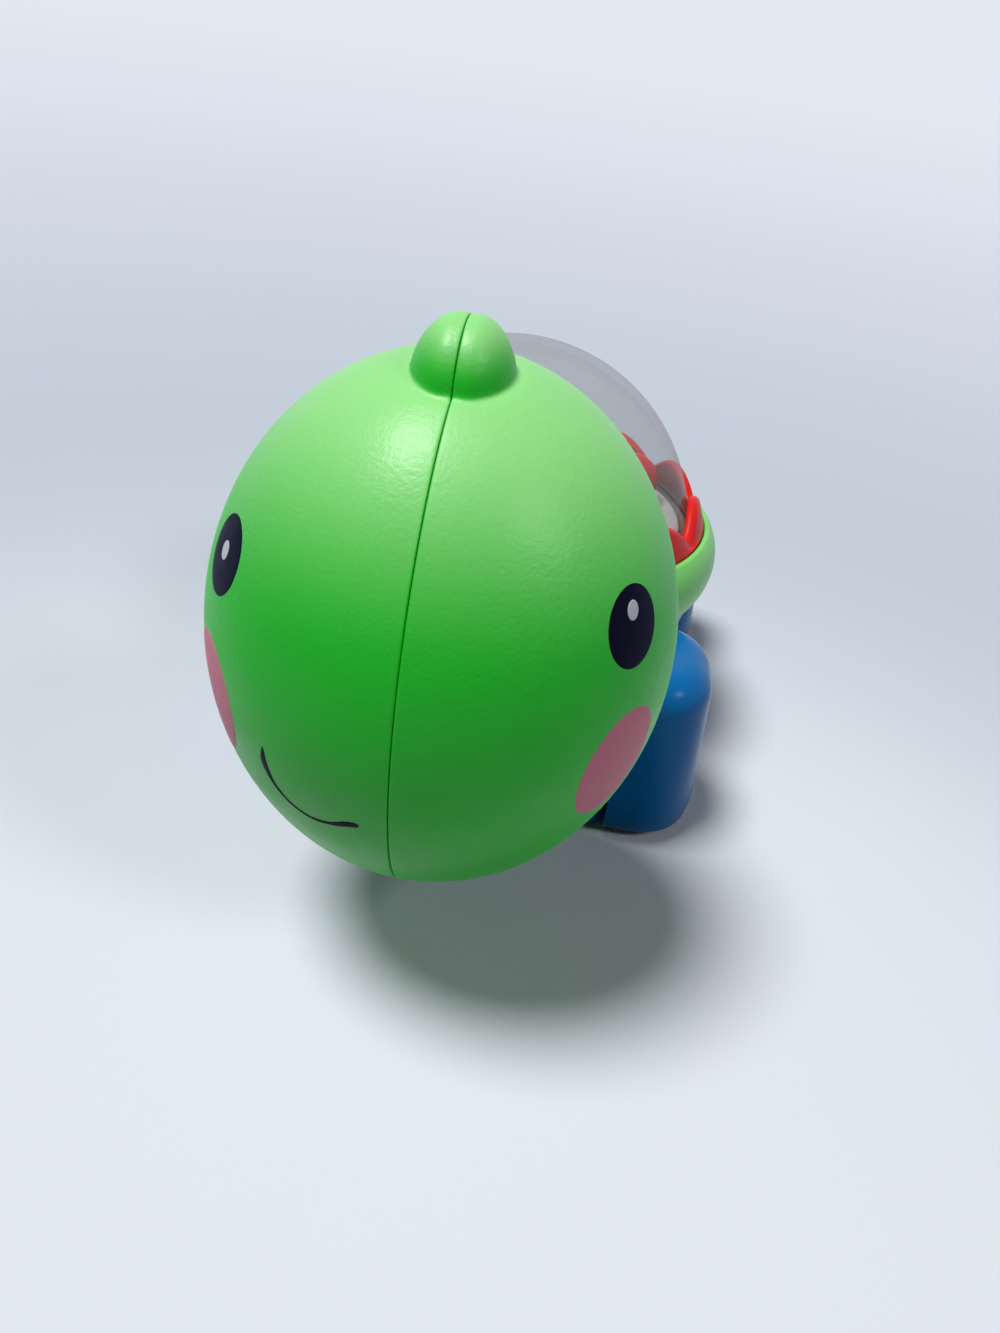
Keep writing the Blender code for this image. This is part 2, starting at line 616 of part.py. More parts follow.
def foot_block(name, side, end, wall, look):
    """A foot's block, or its hollow: set in by a wall, and open towards the floor."""
    low = Vector((FOOT_INNER + wall, -FOOT_HALF + wall, FOOT_BOTTOM - (PAST if wall else 0)))
    high = Vector((FOOT_OUTER - wall, FOOT_HALF - wall, FOOT_TOP - wall))
    bm = bmesh.new()
    bmesh.ops.create_cube(bm, size=1)
    bmesh.ops.scale(bm, vec=high - low, verts=bm.verts)
    bmesh.ops.translate(bm, vec=(low + high) / 2, verts=bm.verts)
    beyond_inner = low.x + FIT
    outer = [e for e in upright_edges(bm) if all(v.co.x > beyond_inner for v in e.verts)]
    bmesh.ops.bevel(bm, geom=outer, offset=FOOT_CORNER - wall, segments=FOOT_CORNER_STEPS,
                    profile=0.5, affect="EDGES")
    top = [e for e in bm.edges if all(v.co.z > FOOT_TOP - wall - FIT for v in e.verts)]
    top = [e for e in top if any(v.co.x > beyond_inner for v in e.verts)]
    bmesh.ops.bevel(bm, geom=top, offset=FOOT_CROWN - wall, segments=FOOT_CROWN_STEPS,
                    profile=0.5, affect="EDGES")
    for vert in bm.verts:
        up = (vert.co.z - FOOT_BOTTOM) / (FOOT_TOP - FOOT_BOTTOM)
        out = (vert.co.x - FOOT_INNER) / (FOOT_OUTER - FOOT_INNER)
        vert.co.x -= FOOT_DRAFT * up * out
    bmesh.ops.scale(bm, vec=(side, 1, 1), verts=bm.verts)
    return add_mesh(name, bm, look, from_shell(0, end * AXLE_Y, 0))


def wheel_corners(piece):
    """Name, side and end of the piece at each of the four wheels."""
    corners = []
    for end_name, end in (("front", -1), ("rear", 1)):
        for side_name, side in (("left", 1), ("right", -1)):
            corners.append((f"{end_name}_{side_name}_{piece}", side, end))
    return corners


def wheel_profile(driven):
    """A wheel's section: dished outside, and with a groove for a friction band where it is driven."""
    half = WHEEL_WIDTH / 2
    tread = WHEEL_RADIUS - (TYRE_PROUD if driven else 0)
    band = TYRE_WIDTH / 2
    groove = WHEEL_RADIUS - TYRE_THICKNESS - FIT
    bore = AXLE_RADIUS + FIT
    dish_rim = tread - WHEEL_EDGE - WHEEL_RIM
    outside = [(tread - WHEEL_EDGE, half), (tread, half - WHEEL_EDGE)]
    if driven:
        outside += [(tread, band), (groove, band), (groove, -band), (tread, -band)]
    outside += [(tread, WHEEL_EDGE - half), (tread - WHEEL_EDGE, -half)]
    inside = [(bore, -half), (bore, half), (WHEEL_HUB, half)]
    dish = [(WHEEL_HUB, half - WHEEL_DISH), (dish_rim, half - WHEEL_DISH), (dish_rim, half)]
    return outside + inside + dish


def build_wheels():
    """Wheels on two axles; the rear pair is driven and carries friction bands and the cam."""
    middle = (WHEEL_INNER + WHEEL_OUTER) / 2
    axles = {}
    for end_name, end in (("front", -1), ("rear", 1)):
        length = 2 * (WHEEL_OUTER - AXLE_INSET)
        place = from_shell(0, end * AXLE_Y, AXLE_LEVEL)
        axles[end] = [rod(f"{end_name}_axle", AXLE_RADIUS, length, "X", place, "steel")]
    for name, side, end in wheel_corners("wheel"):
        place = from_shell(side * middle, end * AXLE_Y, AXLE_LEVEL)
        pieces = [turned(name, wheel_profile(end > 0), place, "yellow", WHEEL_STEPS)]
        if end > 0:
            outer, inner = WHEEL_RADIUS, WHEEL_RADIUS - TYRE_THICKNESS
            half = TYRE_WIDTH / 2 - FIT
            section = [(outer, half), (outer, -half), (inner, -half), (inner, half)]
            pieces.append(turned(name.replace("wheel", "band"), section, place, "rubber", WHEEL_STEPS))
        for piece in pieces:
            piece.rotation_euler = (0, side * math.pi / 2, 0)
        axles[end] += pieces
    axles[1].append(build_cam())
    group("front_axle_line", from_shell(0, -AXLE_Y, AXLE_LEVEL), axles[-1])
    group("rear_axle_line", from_shell(0, AXLE_Y, AXLE_LEVEL), axles[1])


def build_cam():
    """A flat outline with soft lobes and a hole for the axle."""
    curve = bpy.data.curves.new("popper_cam", "CURVE")
    curve.dimensions = "2D"
    curve.fill_mode = "BOTH"
    curve.extrude = CAM_WIDTH / 2
    waves = [0.5 + 0.5 * math.cos(2 * math.pi * i / LOBE_STEPS) for i in range(LOBE_STEPS * CAM_LOBES)]
    outline = [CAM_REACH - CAM_LOBE * (1 - wave**2) for wave in waves]
    hole = [AXLE_RADIUS + FIT] * ROD_STEPS
    for radii in (outline, hole):
        spline = curve.splines.new("POLY")
        spline.points.add(len(radii) - 1)
        spline.use_cyclic_u = True
        for i, radius in enumerate(radii):
            around = 2 * math.pi * i / len(radii)
            spline.points[i].co = (radius * math.cos(around), radius * math.sin(around), 0, 1)
    cam = add("popper_cam", curve, "white", from_shell(0, AXLE_Y, AXLE_LEVEL))
    cam.rotation_euler = (0, math.pi / 2, 0)
    return cam


def build_popper():
    """A hinged arm over the cam, with a post and a round plate that strikes the balls from below."""
    pin_place = from_shell(0, PIN_Y, PIN_LEVEL)
    arm = rod("popper_arm", ARM_HUB, ARM_HUB_WIDTH, "X", pin_place, "white")
    beam_half, post_half = ARM_BEAM_WIDTH / 2, ARM_POST / 2
    beam_middle = ARM_UNDERSIDE + ARM_THICKNESS / 2
    beam_top = ARM_UNDERSIDE + ARM_THICKNESS
    striker_middle = POPPER_TOP - POPPER_THICKNESS / 2
    join(arm, block("beam", (-beam_half, -post_half - PAST, ARM_UNDERSIDE), (beam_half, PIN_Y, beam_top)))
    join(arm, block("post", (-post_half, -post_half, beam_middle), (post_half, post_half, striker_middle)))
    join(arm, rod("striker", POPPER_RADIUS, POPPER_THICKNESS, "Z", from_shell(0, 0, striker_middle)))
    cut(arm, rod("arm_bore", PIN_RADIUS + FIT, ARM_HUB_WIDTH + PAST, "X", pin_place))
    rod("popper_pin", PIN_RADIUS, ARM_HUB_WIDTH + 2 * (FIT + LUG_WIDTH), "X", pin_place, "steel")


def main():
    clear_scene()
    front_of_rim = from_shell(0, -RIM_RADIUS, NECK_LEVEL)
    neck_hole = rod("body_neck_hole", NECK_RADIUS + FIT, HEAD_AWAY - LEDGE_RADIUS, "Y", front_of_rim)
    build_head()
    build_neck()
    build_rim(neck_hole)
    build_dome()
    build_crown()
    build_tray()
    build_balls()
    build_lower_body(neck_hole)
    build_bottom_plate()
    build_screws()
    build_feet()
    build_wheels()
    build_popper()


main()
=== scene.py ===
"""A push-along turtle toy dressed for the picture: smooth shells, prints, clear dome and moulded plastics.

Units are metres in the CAD frame: +Z is up, the turtle faces -Y and its own left is +X.
"""

import json
import math

import bmesh
import bpy
import numpy as np
from mathutils import Matrix, Vector


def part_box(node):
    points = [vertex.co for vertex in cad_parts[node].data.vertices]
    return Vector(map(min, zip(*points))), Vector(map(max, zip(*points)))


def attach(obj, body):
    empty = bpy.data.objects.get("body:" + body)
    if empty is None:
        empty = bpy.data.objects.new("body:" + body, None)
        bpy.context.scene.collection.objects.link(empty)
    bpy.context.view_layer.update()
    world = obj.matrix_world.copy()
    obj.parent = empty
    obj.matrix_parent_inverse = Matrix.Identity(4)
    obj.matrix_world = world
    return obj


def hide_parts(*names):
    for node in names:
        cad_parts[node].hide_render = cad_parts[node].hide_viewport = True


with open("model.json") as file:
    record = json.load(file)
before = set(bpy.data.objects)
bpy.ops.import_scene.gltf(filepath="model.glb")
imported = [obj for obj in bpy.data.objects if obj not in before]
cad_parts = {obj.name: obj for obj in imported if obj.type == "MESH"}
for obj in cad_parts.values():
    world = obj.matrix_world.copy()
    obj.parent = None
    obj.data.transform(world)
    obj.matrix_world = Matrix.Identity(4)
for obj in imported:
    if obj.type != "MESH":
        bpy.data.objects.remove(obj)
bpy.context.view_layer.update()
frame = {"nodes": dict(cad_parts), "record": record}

MM = 0.001
BODY = "toy_body"
AXLES = ("front_axle", "rear_axle")
WHEELS = ("front_left_wheel", "front_right_wheel", "rear_left_wheel", "rear_right_wheel")
BANDS = ("rear_left_band", "rear_right_band")
FEET = ("front_left_foot", "front_right_foot", "rear_left_foot", "rear_right_foot")
SCREWS = [f"plate_screw_{number}" for number in range(1, 5)]

# Gap between pieces that touch, and how far a cutter runs past what it cuts
FIT = 0.3 * MM
PAST = 2 * MM

# Photograph: size and focal length in pixels, and the camera fitted to it, with its sensor in millimetres
PHOTO_SIZE = (1000, 1333)
PHOTO_FOCAL = 1040
SENSOR = 36
CAMERA_PLACE = Vector((25.1, -232.1, 175.1)) * MM
CAMERA_TARGET = Vector((12.0, -61.9, 69.4)) * MM
CAMERA_ROLL = math.radians(7.94)
CAMERA_NEAR = 5 * MM

# Head: an egg with a tuft, in two halves that meet on the plane X 0
HEAD_LOW, HEAD_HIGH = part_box("head_left_half")
HEAD_HEIGHT = 105 * MM
HEAD_WALL = 2.4 * MM
HEAD_RADII = np.array((HEAD_HIGH[0], (HEAD_HIGH[1] - HEAD_LOW[1]) / 2, HEAD_HEIGHT / 2))
HEAD_CENTRE = np.array((0, (HEAD_HIGH[1] + HEAD_LOW[1]) / 2, HEAD_LOW[2] + HEAD_HEIGHT / 2))
TUFT_RADII = np.array((8.8, 10.3, 11.5)) * MM
TUFT_FORWARD = 5 * MM
TUFT_SINK = 3.6 * MM
TUFT_FILLET = 1.1 * MM
TUFT_CREASE = 0.2 * MM
TUFT_CREASE_WIDTH = 0.9 * MM
TUFT_VALLEY = 0.5 * MM
TUFT_VALLEY_WIDTH = 2 * MM
SEAM_GAP = 0.04 * MM
SEAM_ROUND = 0.42 * MM

# The head's mesh: slices from the seam outwards, and angles round them, closer in a few degrees at the tuft
TUFT_REACH = 12 * MM
LAST_SLICE = math.radians(89)
SEAM_SLICES = 6
TUFT_SLICES = 36
BESIDE_SLICES = 8
FAR_SLICES = 24
HOLLOW_SLICES = 12
TUFT_SPAN = 15
TUFT_ANGLES = 120
REST_ANGLES = 168
HALVINGS = 40

# Prints on the head, as angles seen from its middle: round from the nose, and up
PRINT_HEIGHT = 0.06 * MM
PRINT_DEPTH = 0.15 * MM
EYE_AT = (math.radians(58.2), math.radians(24.9))
EYE_RADII = (6.2 * MM, 7.1 * MM)
EYE_TILT = math.radians(-5.4)
GLINT_RADII = (1.4 * MM, 1.7 * MM)
GLINT_LIFT = {"left": math.radians(3.6), "right": math.radians(1.0)}
CHEEK_AT = (math.radians(58.8), math.radians(-10.8))
CHEEK_RADII = (9.4 * MM, 11.9 * MM)
CHEEK_TILT = math.radians(-3.1)

# An oval print's section from its middle over its edge: share of the radius, and height over the head
OVAL_STEPS = 72
OVAL_TOP = [(share, PRINT_HEIGHT) for share in (0, *np.linspace(0.12, 0.94, 9))]
OVAL_EDGE = [(0.975, 0.7 * PRINT_HEIGHT), (1.0, 0), (1.0, -PRINT_DEPTH)]
OVAL_SECTION = OVAL_TOP + OVAL_EDGE + [(0, -PRINT_DEPTH)]

# Smile: angles along it in degrees, widths in millimetres, how its ends taper, and its section across
SMILE = ((-34.0, -12.2), (-34.5, -17.7), (-32.6, -23.4), (-28.4, -27.7), (-22.2, -29.7), (-16.0, -28.8),
         (-10.6, -26.6), (-7.4, -25.8))
SMILE_WIDTHS = (0.5, 1.6, 1.05, 0.72, 0.75, 1.0, 1.6, 1.2)
SMILE_STEPS = 90
SMILE_TAPER_STEPS = 5
SMILE_TIP = 0.004
SMILE_TOP = [(share, PRINT_HEIGHT) for share in (-0.8, -0.3, 0.3, 0.8)]
SMILE_SECTION = [(-1, -PRINT_DEPTH), (-1, 0)] + SMILE_TOP + [(1, 0), (1, -PRINT_DEPTH)]

# Shell: dome, crown and rim round one upright axis
DOME_LOW, DOME_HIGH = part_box("clear_dome")
RIM_LOW, RIM_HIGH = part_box("shell_rim")
SHELL_Y = (RIM_LOW[1] + RIM_HIGH[1]) / 2
SHELL_AXIS = Vector((0, SHELL_Y, 0))
DOME_RADIUS = 51 * MM
DOME_WALL = 2 * MM
SHELL_LEVEL = DOME_HIGH[2] - DOME_RADIUS
RIM_RADIUS = RIM_HIGH[0]
RIM_ROUND = 13 * MM
RIM_WALL = 2.4 * MM
LEDGE_REACH = 8 * MM
TRAY_WALL = 2 * MM
TRAY_HOLE = 19 * MM
CROWN_THICKNESS = 4.0 * MM
CROWN_EDGE = 3.1 * MM
CROWN_PETALS = 12
CROWN_TURN = math.radians(-3.5)
CROWN_TIP = 17.4 * MM
CROWN_VALLEY = 10.6 * MM
PETAL_FULLNESS = 0.55

# Balls: the ridge between mould halves and the gate's dimple, widths in degrees, and turns in radians
BALL_RIDGE = 0.12 * MM
BALL_RIDGE_WIDTH = 1.6
BALL_GATE = 0.25 * MM
BALL_GATE_WIDTH = 6
BALL_FIRST_TILT = 0.4
BALL_TILT = 0.7
BALL_SPIN = 1.3

# Neck, from the rim into the head
NECK_LOW, NECK_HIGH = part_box("neck_post")
NECK_LEVEL = (NECK_LOW[2] + NECK_HIGH[2]) / 2
NECK_RADIUS = 10 * MM
NECK_GROOVE = 2 * MM
NECK_DISC = 2.5 * MM

# Lower body, feet and what is under them
BODY_LOW, BODY_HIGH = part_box("lower_body")
BODY_WALL = 2.4 * MM
BOWL_DEPTH = 34 * MM
CHASSIS_TOP = 30.7 * MM
CHASSIS_CORNER = 4 * MM
CHASSIS_BROW = 2.2 * MM
FOOT_WALL = 2.4 * MM
FOOT_CORNER = 15 * MM
FOOT_CROWN = 8 * MM
FOOT_TUCK = 2.6 * MM
FOOT_TUCK_HEIGHT = 11 * MM
FOOT_TUCK_STEPS = 10
FOOT_DRAFT = 2.6 * MM
AXLE_ROOM = 1 * MM
AXLE_CHAMFER = 0.3 * MM
WHEEL_EDGE = 1.6 * MM
WHEEL_HUB = 5 * MM
WHEEL_BORE = 2.3 * MM
WHEEL_RIM = 2.6 * MM
WHEEL_DISH = 2 * MM
BAND_GROOVE = 1.3 * MM
BAND_THICKNESS = 1.4 * MM
STRIKER_THICKNESS = 2.5 * MM
ARM_POST = 8 * MM
ARM_POST_CORNER = 1.5 * MM
ARM_BEAM = 10 * MM
ARM_THICKNESS = 4.2 * MM
ARM_HUB_WIDTH = 14 * MM
SCREW_SHANK = 1.5 * MM
SCREW_HEAD_DEPTH = 1.6 * MM
SCREW_FACE = 2.1 * MM
SCREW_CROSS = Vector((1.6, 0.36, 0.8)) * MM

# Rounded edges: how far they reach from the corner, at most about half of a side
EDGE_ROUND = 0.5 * MM
LIP_ROUND = 0.45 * MM
BAND_ROUND = 0.4 * MM
TRAY_ROUND = 0.6 * MM
STRIKER_ROUND = 0.8 * MM
SCREW_ROUND = 0.25 * MM
FOOT_EDGE = 0.7 * MM
CAD_EDGE = 0.3 * MM
SIDE_PARTS = 2.01

# Steps round turned shapes, along arcs and across rounded edges
TURN_STEPS = 144
CUTTER_STEPS = 64
ENVELOPE_STEPS = 128
BALL_STEPS = 72
ROD_STEPS = 48
SCREW_STEPS = 40
PETAL_STEPS = 24
PETAL_ROWS = 9
DOME_ARC = 48
RIM_ARC = 30
RIM_HOLLOW_ARC = 10
ENVELOPE_ARC = 28
BOWL_ARC = 28
BOWL_CUTTER_ARC = 24
BALL_ARC = 61
CORNER_ARC = 5
EDGE_SEGMENTS = 3
BOX_CORNER_SEGMENTS = 8
BOX_BROW_SEGMENTS = 6
FOOT_CORNER_SEGMENTS = 14
FOOT_CROWN_SEGMENTS = 12

# Limits: a slope is never taken as less, points this close are one, and edges bent by more are sharp
LEAST_SLOPE = 1e-9
SAME_POINT = 1e-7
CAD_SAME_POINT = 1e-6
SHARP_ANGLE = math.radians(35)
HEAD_SHARP_ANGLE = math.radians(70)

AXIS_TURNS = {
    "X": Matrix.Rotation(math.pi / 2, 4, "Y"),
    "Y": Matrix.Rotation(math.pi / 2, 4, "X"),
    "Z": Matrix(),
}


def srgb(red, green, blue):
    """Linear values and full cover of a colour written in eight-bit sRGB."""
    shares = [value / 255 for value in (red, green, blue)]
    return (*(s / 12.92 if s <= 0.04045 else ((s + 0.055) / 1.055) ** 2.4 for s in shares), 1)


# Plastics: colour, roughness, strength of the grain, gloss, and a paler colour painted where they look up,
# as painted light from above
PLASTICS = {
    # The green's last colour is painted light: a paler top standing in for the sheen of the lamp above
    "green": (srgb(20, 198, 32), 0.38, 0.5, 0.35, srgb(150, 232, 136)),
    "lime": (srgb(118, 216, 98), 0.32, 0.2),
    "red": (srgb(226, 34, 32), 0.34, 0.12, 0.12),
    "blue": (srgb(0, 104, 172), 0.2, 0.1, 0.12),
    "dark_blue": (srgb(8, 66, 122), 0.45, 0.3, 0.3),
    "yellow": (srgb(244, 196, 32), 0.3, 0.12),
    "orange": (srgb(240, 128, 28), 0.28, 0.12),
    "white": (srgb(210, 209, 205), 0.38, 0.15),
}
INKS = {"navy": srgb(2, 4, 34), "pink": srgb(228, 140, 160), "pale": srgb(206, 210, 220)}
SMOKE = srgb(168, 170, 174)
RUBBER = srgb(34, 34, 36)
STEEL = srgb(190, 192, 196)

# Dome: its tint face on and at its edge, how late the edge begins, its mirror's shares alike, and its haze
DOME_TINT = (0.89, 0.895, 0.9, 1)
DOME_EDGE = (0.7, 0.72, 0.74, 1)
DOME_EDGE_POWER = 5
DOME_MIRROR = (0.04, 0.5)
DOME_MIRROR_ROUGHNESS = 0.06
DOME_HAZE = 0.12

# Where the noise texture's values mostly lie, and how far up a surface looks where its paler painted-light
# colour takes over
NOISE_SPAN = (0.3, 0.7)
PAINTED_TOP_SPAN = (0.2, 0.85)

# Floor: pale round the toy, with a greyer band painted behind it as the shade where a backdrop would meet
# the floor, and pale again far off, by metres from a point
FLOOR_MIDDLE = (0, -0.12, 0)
FLOOR_REACH = 20
FLOOR_TONES_WITH_PAINTED_SHADE = {
    0.16: srgb(225, 231, 239),
    # The greyer tones here are painted shade, not the paper's own colour
    0.27: srgb(193, 203, 214),
    0.45: srgb(194, 203, 215),
    0.8: srgb(206, 213, 224),
    1.8: srgb(220, 225, 236),
    6: srgb(226, 230, 238),
}
FLOOR_BOUNCE = 0.35
BACKDROP = srgb(227, 232, 241)

# Light: where a key and a side lamp come from and how wide they look, and the fill
KEY_FROM = (-0.33, -0.15, 0.93)
KEY_WIDTH = math.radians(20)
KEY_STRENGTH = 2.85
SIDE_FROM = (0.68, -0.33, 0.65)
SIDE_WIDTH = math.radians(14)
SIDE_STRENGTH = 0.6
FILL_COLOUR = (0.93, 0.96, 1, 1)
FILL_STRENGTH = 0.04


class Nodes:
    """A short way to add nodes to a material or a world and to link them."""

    def __init__(self, owner, shader="Principled BSDF", output="Material Output"):
        owner.use_nodes = True
        self.owner = owner
        self.tree = owner.node_tree
        self.shader = self.tree.nodes[shader]
        self.output = self.tree.nodes[output]

    def feed(self, node, inputs):
        """Sets a node's inputs, by name or place, or links them where a value is a node's output."""
        for key, value in inputs.items():
            if isinstance(value, bpy.types.NodeSocket):
                self.tree.links.new(value, node.inputs[key])
            else:
                node.inputs[key].default_value = value

    def add(self, kind, inputs, **settings):
        """Adds a node and returns its outputs."""
        node = self.tree.nodes.new(kind)
        for key, value in settings.items():
            setattr(node, key, value)
        self.feed(node, inputs)
        return node.outputs

    def coordinates(self, kind="Object"):
        return self.add("ShaderNodeTexCoord", {})[kind]

    def noise(self, scale, detail=2, roughness=0.5):
        """Cloudy values, with about as many clouds to the metre as the scale says."""
        inputs = {"Vector": self.coordinates(), "Scale": scale, "Detail": detail, "Roughness": roughness}
        return self.add("ShaderNodeTexNoise", inputs)["Fac"]

    def mapped(self, value, to=(0, 1), source=(0, 1), kind="LINEAR"):
        """A value mapped from one range to another."""
        ranges = {"From Min": source[0], "From Max": source[1], "To Min": to[0], "To Max": to[1]}
        return self.add("ShaderNodeMapRange", {"Value": value, **ranges}, interpolation_type=kind)["Result"]

    def compute(self, operation, first, second):
        return self.add("ShaderNodeMath", {0: first, 1: second}, operation=operation)[0]

    def between(self, share, first, second):
        """A colour between two; the colour sockets share their names, so they are picked by place."""
        return self.add("ShaderNodeMix", {0: share, 6: first, 7: second}, data_type="RGBA")[2]

    def shades(self, share, colour, low, high):
        """A colour between two shades of one."""
        return self.between(share, scaled(colour, low), scaled(colour, high))

    def mixed(self, share, first, second):
        """A shader between two."""
        return self.add("ShaderNodeMixShader", {0: share, 1: first, 2: second})[0]

    def roughen(self, noise, low, high):
        """Lets the roughness wander between two values."""
        self.feed(self.shader, {"Roughness": self.mapped(noise, (low, high), NOISE_SPAN)})

    def bump(self, height, strength, depth):
        """Adds a bump to those that the shader's normal has already."""
        inputs = {"Height": height, "Strength": strength, "Distance": depth}
        before = self.shader.inputs["Normal"].links
        if before:
            inputs["Normal"] = before[0].from_socket
        self.feed(self.shader, {"Normal": self.add("ShaderNodeBump", inputs)["Normal"]})

    def seen(self):
        """1 for rays that show a surface to the camera, straight or mirrored, 0 for scattered light."""
        path = self.add("ShaderNodeLightPath", {})
        seen = self.compute("MAXIMUM", path["Is Camera Ray"], path["Is Glossy Ray"])
        return self.compute("MAXIMUM", seen, path["Is Transmission Ray"])


def scaled(colour, factor):
    """A darker or paler shade of a colour, with the same cover."""
    return (*(min(1.0, value * factor) for value in colour[:3]), colour[3])


def painted_top_light(n, colour, painted_top_colour):
    """A colour socket that turns into a paler colour where the surface looks up: painted light that stands
    in for the sheen of the lamp above.
    """
    up = n.add("ShaderNodeSeparateXYZ", {0: n.coordinates("Normal")})["Z"]
    return n.between(n.mapped(up, source=PAINTED_TOP_SPAN, kind="SMOOTHSTEP"), colour, painted_top_colour)


def plastic(name, colour, rough, grain, gloss=0.5, painted_top_colour=None):
    """Moulded plastic: faint swirls of colour, uneven gloss, soft waviness and a fine orange-peel grain;
    where a top colour is given, it is painted on faces that look up as painted light.
    """
    n = Nodes(bpy.data.materials.new(name))
    swirl = n.shades(n.noise(38, detail=3), colour, 0.94, 1.06)
    # Painted light: the colour turns paler where the surface looks up
    if painted_top_colour:
        swirl = painted_top_light(n, swirl, painted_top_colour)
    n.feed(n.shader, {"Base Color": swirl, "Specular IOR Level": gloss})
    n.roughen(n.noise(95, detail=4), rough - 0.05, rough + 0.06)
    n.bump(n.noise(120), strength=0.12, depth=0.6 * MM)
    n.bump(n.noise(1100, roughness=0.6), strength=grain, depth=0.15 * MM)
    return n.owner


def print_ink(name, colour):
    """Ink on plastic: an even colour with faint specks and a dull gloss."""
    n = Nodes(bpy.data.materials.new(name))
    specks = n.shades(n.noise(900, detail=3), colour, 0.96, 1.04)
    n.feed(n.shader, {"Base Color": specks, "Specular IOR Level": 0.04})
    n.roughen(n.noise(300, detail=3), 0.36, 0.46)
    n.bump(n.noise(1500, roughness=0.6), strength=0.2, depth=0.05 * MM)
    return n.owner


def smoky(name, low, high):
    """Nodes whose shader is an uneven smoke grey with a roughness between two values."""
    n = Nodes(bpy.data.materials.new(name))
    n.feed(n.shader, {"Base Color": n.shades(n.noise(30), SMOKE, 0.94, 1)})
    n.roughen(n.noise(60), low, high)
    n.bump(n.noise(45), strength=0.05, depth=0.4 * MM)
    return n


def clear_plastic():
    """Thin clear plastic, see-through with a smoky cast and haze, darker and mirror-like at its edge."""
    n = smoky("clear plastic", 0.2, 0.3)
    facing = n.add("ShaderNodeLayerWeight", {"Blend": 0.5})["Facing"]
    steep = n.compute("POWER", facing, DOME_EDGE_POWER)
    through = n.add("ShaderNodeBsdfTransparent", {"Color": n.between(steep, DOME_TINT, DOME_EDGE)})[0]
    mirror = n.add("ShaderNodeBsdfGlossy", {"Roughness": DOME_MIRROR_ROUGHNESS})[0]
    clear = n.mixed(n.mapped(steep, DOME_MIRROR), through, mirror)
    n.feed(n.output, {"Surface": n.mixed(DOME_HAZE, clear, n.shader.outputs[0])})
    return n.owner


def hazy_plastic(name, haze):
    """Clear plastic without a mirror's gloss, veiled by an uneven haze."""
    n = smoky(name, 0.3, 0.4)
    through = n.add("ShaderNodeBsdfTransparent", {})[0]
    n.feed(n.output, {"Surface": n.mixed(haze, through, n.shader.outputs[0])})
    return n.owner


def rubber():
    """Matt black rubber with fine scuffs."""
    n = Nodes(bpy.data.materials.new("black rubber"))
    n.feed(n.shader, {"Base Color": n.shades(n.noise(400, detail=4), RUBBER, 0.8, 1.5)})
    n.roughen(n.noise(500, detail=3), 0.7, 0.9)
    n.bump(n.noise(2200, detail=3), strength=0.4, depth=0.1 * MM)
    return n.owner


def steel():
    """Zinc-plated steel, a little blotched and finely pitted."""
    n = Nodes(bpy.data.materials.new("steel"))
    n.feed(n.shader, {"Base Color": n.shades(n.noise(200, detail=4), STEEL, 0.85, 1.1), "Metallic": 1})
    n.roughen(n.noise(700, detail=3), 0.25, 0.42)
    n.bump(n.noise(1800), strength=0.25, depth=0.06 * MM)
    return n.owner


LOOKS = {
    "clear_plastic": clear_plastic(),
    "clear inside": hazy_plastic("clear plastic inside", haze=0.03),
    "frosted flange": hazy_plastic("frosted flange", haze=0.6),
    "black_rubber": rubber(),
    "steel": steel(),
}
for hue, finish in PLASTICS.items():
    LOOKS[hue + "_plastic"] = plastic(hue.replace("_", " ") + " plastic", *finish)
for hue, colour in INKS.items():
    LOOKS[hue + " ink"] = print_ink(hue + " ink", colour)
SLOTS = {part["node"]: part["material_slot"] for part in frame["record"]["subparts"]}
BODY_OF = {node: body for body, nodes in frame["record"]["behaviour"]["bodies"].items() for node in nodes}


def corners(node):
    """The low and the high corner of a CAD node's box."""
    low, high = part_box(node)
    return Vector(low), Vector(high)


def put(name, mesh, look):
    """An object in the scene, with its look if it has one."""
    obj = bpy.data.objects.new(name, mesh)
    bpy.context.scene.collection.objects.link(obj)
    if look:
        mesh.materials.append(LOOKS[look])
    return obj


def mesh_object(name, points, faces, look):
    """An object from points and faces, facing outwards, smooth but for its sharp edges."""
    mesh = bpy.data.meshes.new(name)
    mesh.from_pydata([tuple(p) for p in points], [], faces)
    smooth_outwards(mesh)
    return put(name, mesh, look)


def block_object(name, bm, look):
    """An object from a bmesh, which is used up."""
    mesh = bpy.data.meshes.new(name)
    bm.to_mesh(mesh)
    bm.free()
    return put(name, mesh, look)


def smooth_outwards(mesh, sharp=SHARP_ANGLE):
    """Joins points that lie together, turns the faces outwards and shades them smooth up to an angle."""
    bm = bmesh.new()
    bm.from_mesh(mesh)
    bmesh.ops.remove_doubles(bm, verts=bm.verts, dist=SAME_POINT)
    bmesh.ops.recalc_face_normals(bm, faces=bm.faces)
    bm.to_mesh(mesh)
    bm.free()
    mesh.shade_smooth()
    mesh.set_sharp_from_angle(angle=sharp)


def stands_for(obj, node):
    """The object takes over from a CAD node: its body and its place."""
    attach(obj, BODY_OF[node])
    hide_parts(node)


def grid_faces(rows, columns):
    """Quads of a grid of points that lie row after row, each row's end joined to its start."""
    faces = []
    for r in range(rows - 1):
        for c in range(columns):
            d = (c + 1) % columns
            faces.append((r * columns + c, r * columns + d, (r + 1) * columns + d, (r + 1) * columns + c))
    return faces


def arc(centre, radius, start, end, count):
    """Points (radius, height) on an arc between two angles in degrees, both ends included."""
    angles = np.radians(np.linspace(start, end, count))
    return [(centre[0] + radius * math.cos(a), centre[1] + radius * math.sin(a)) for a in angles]


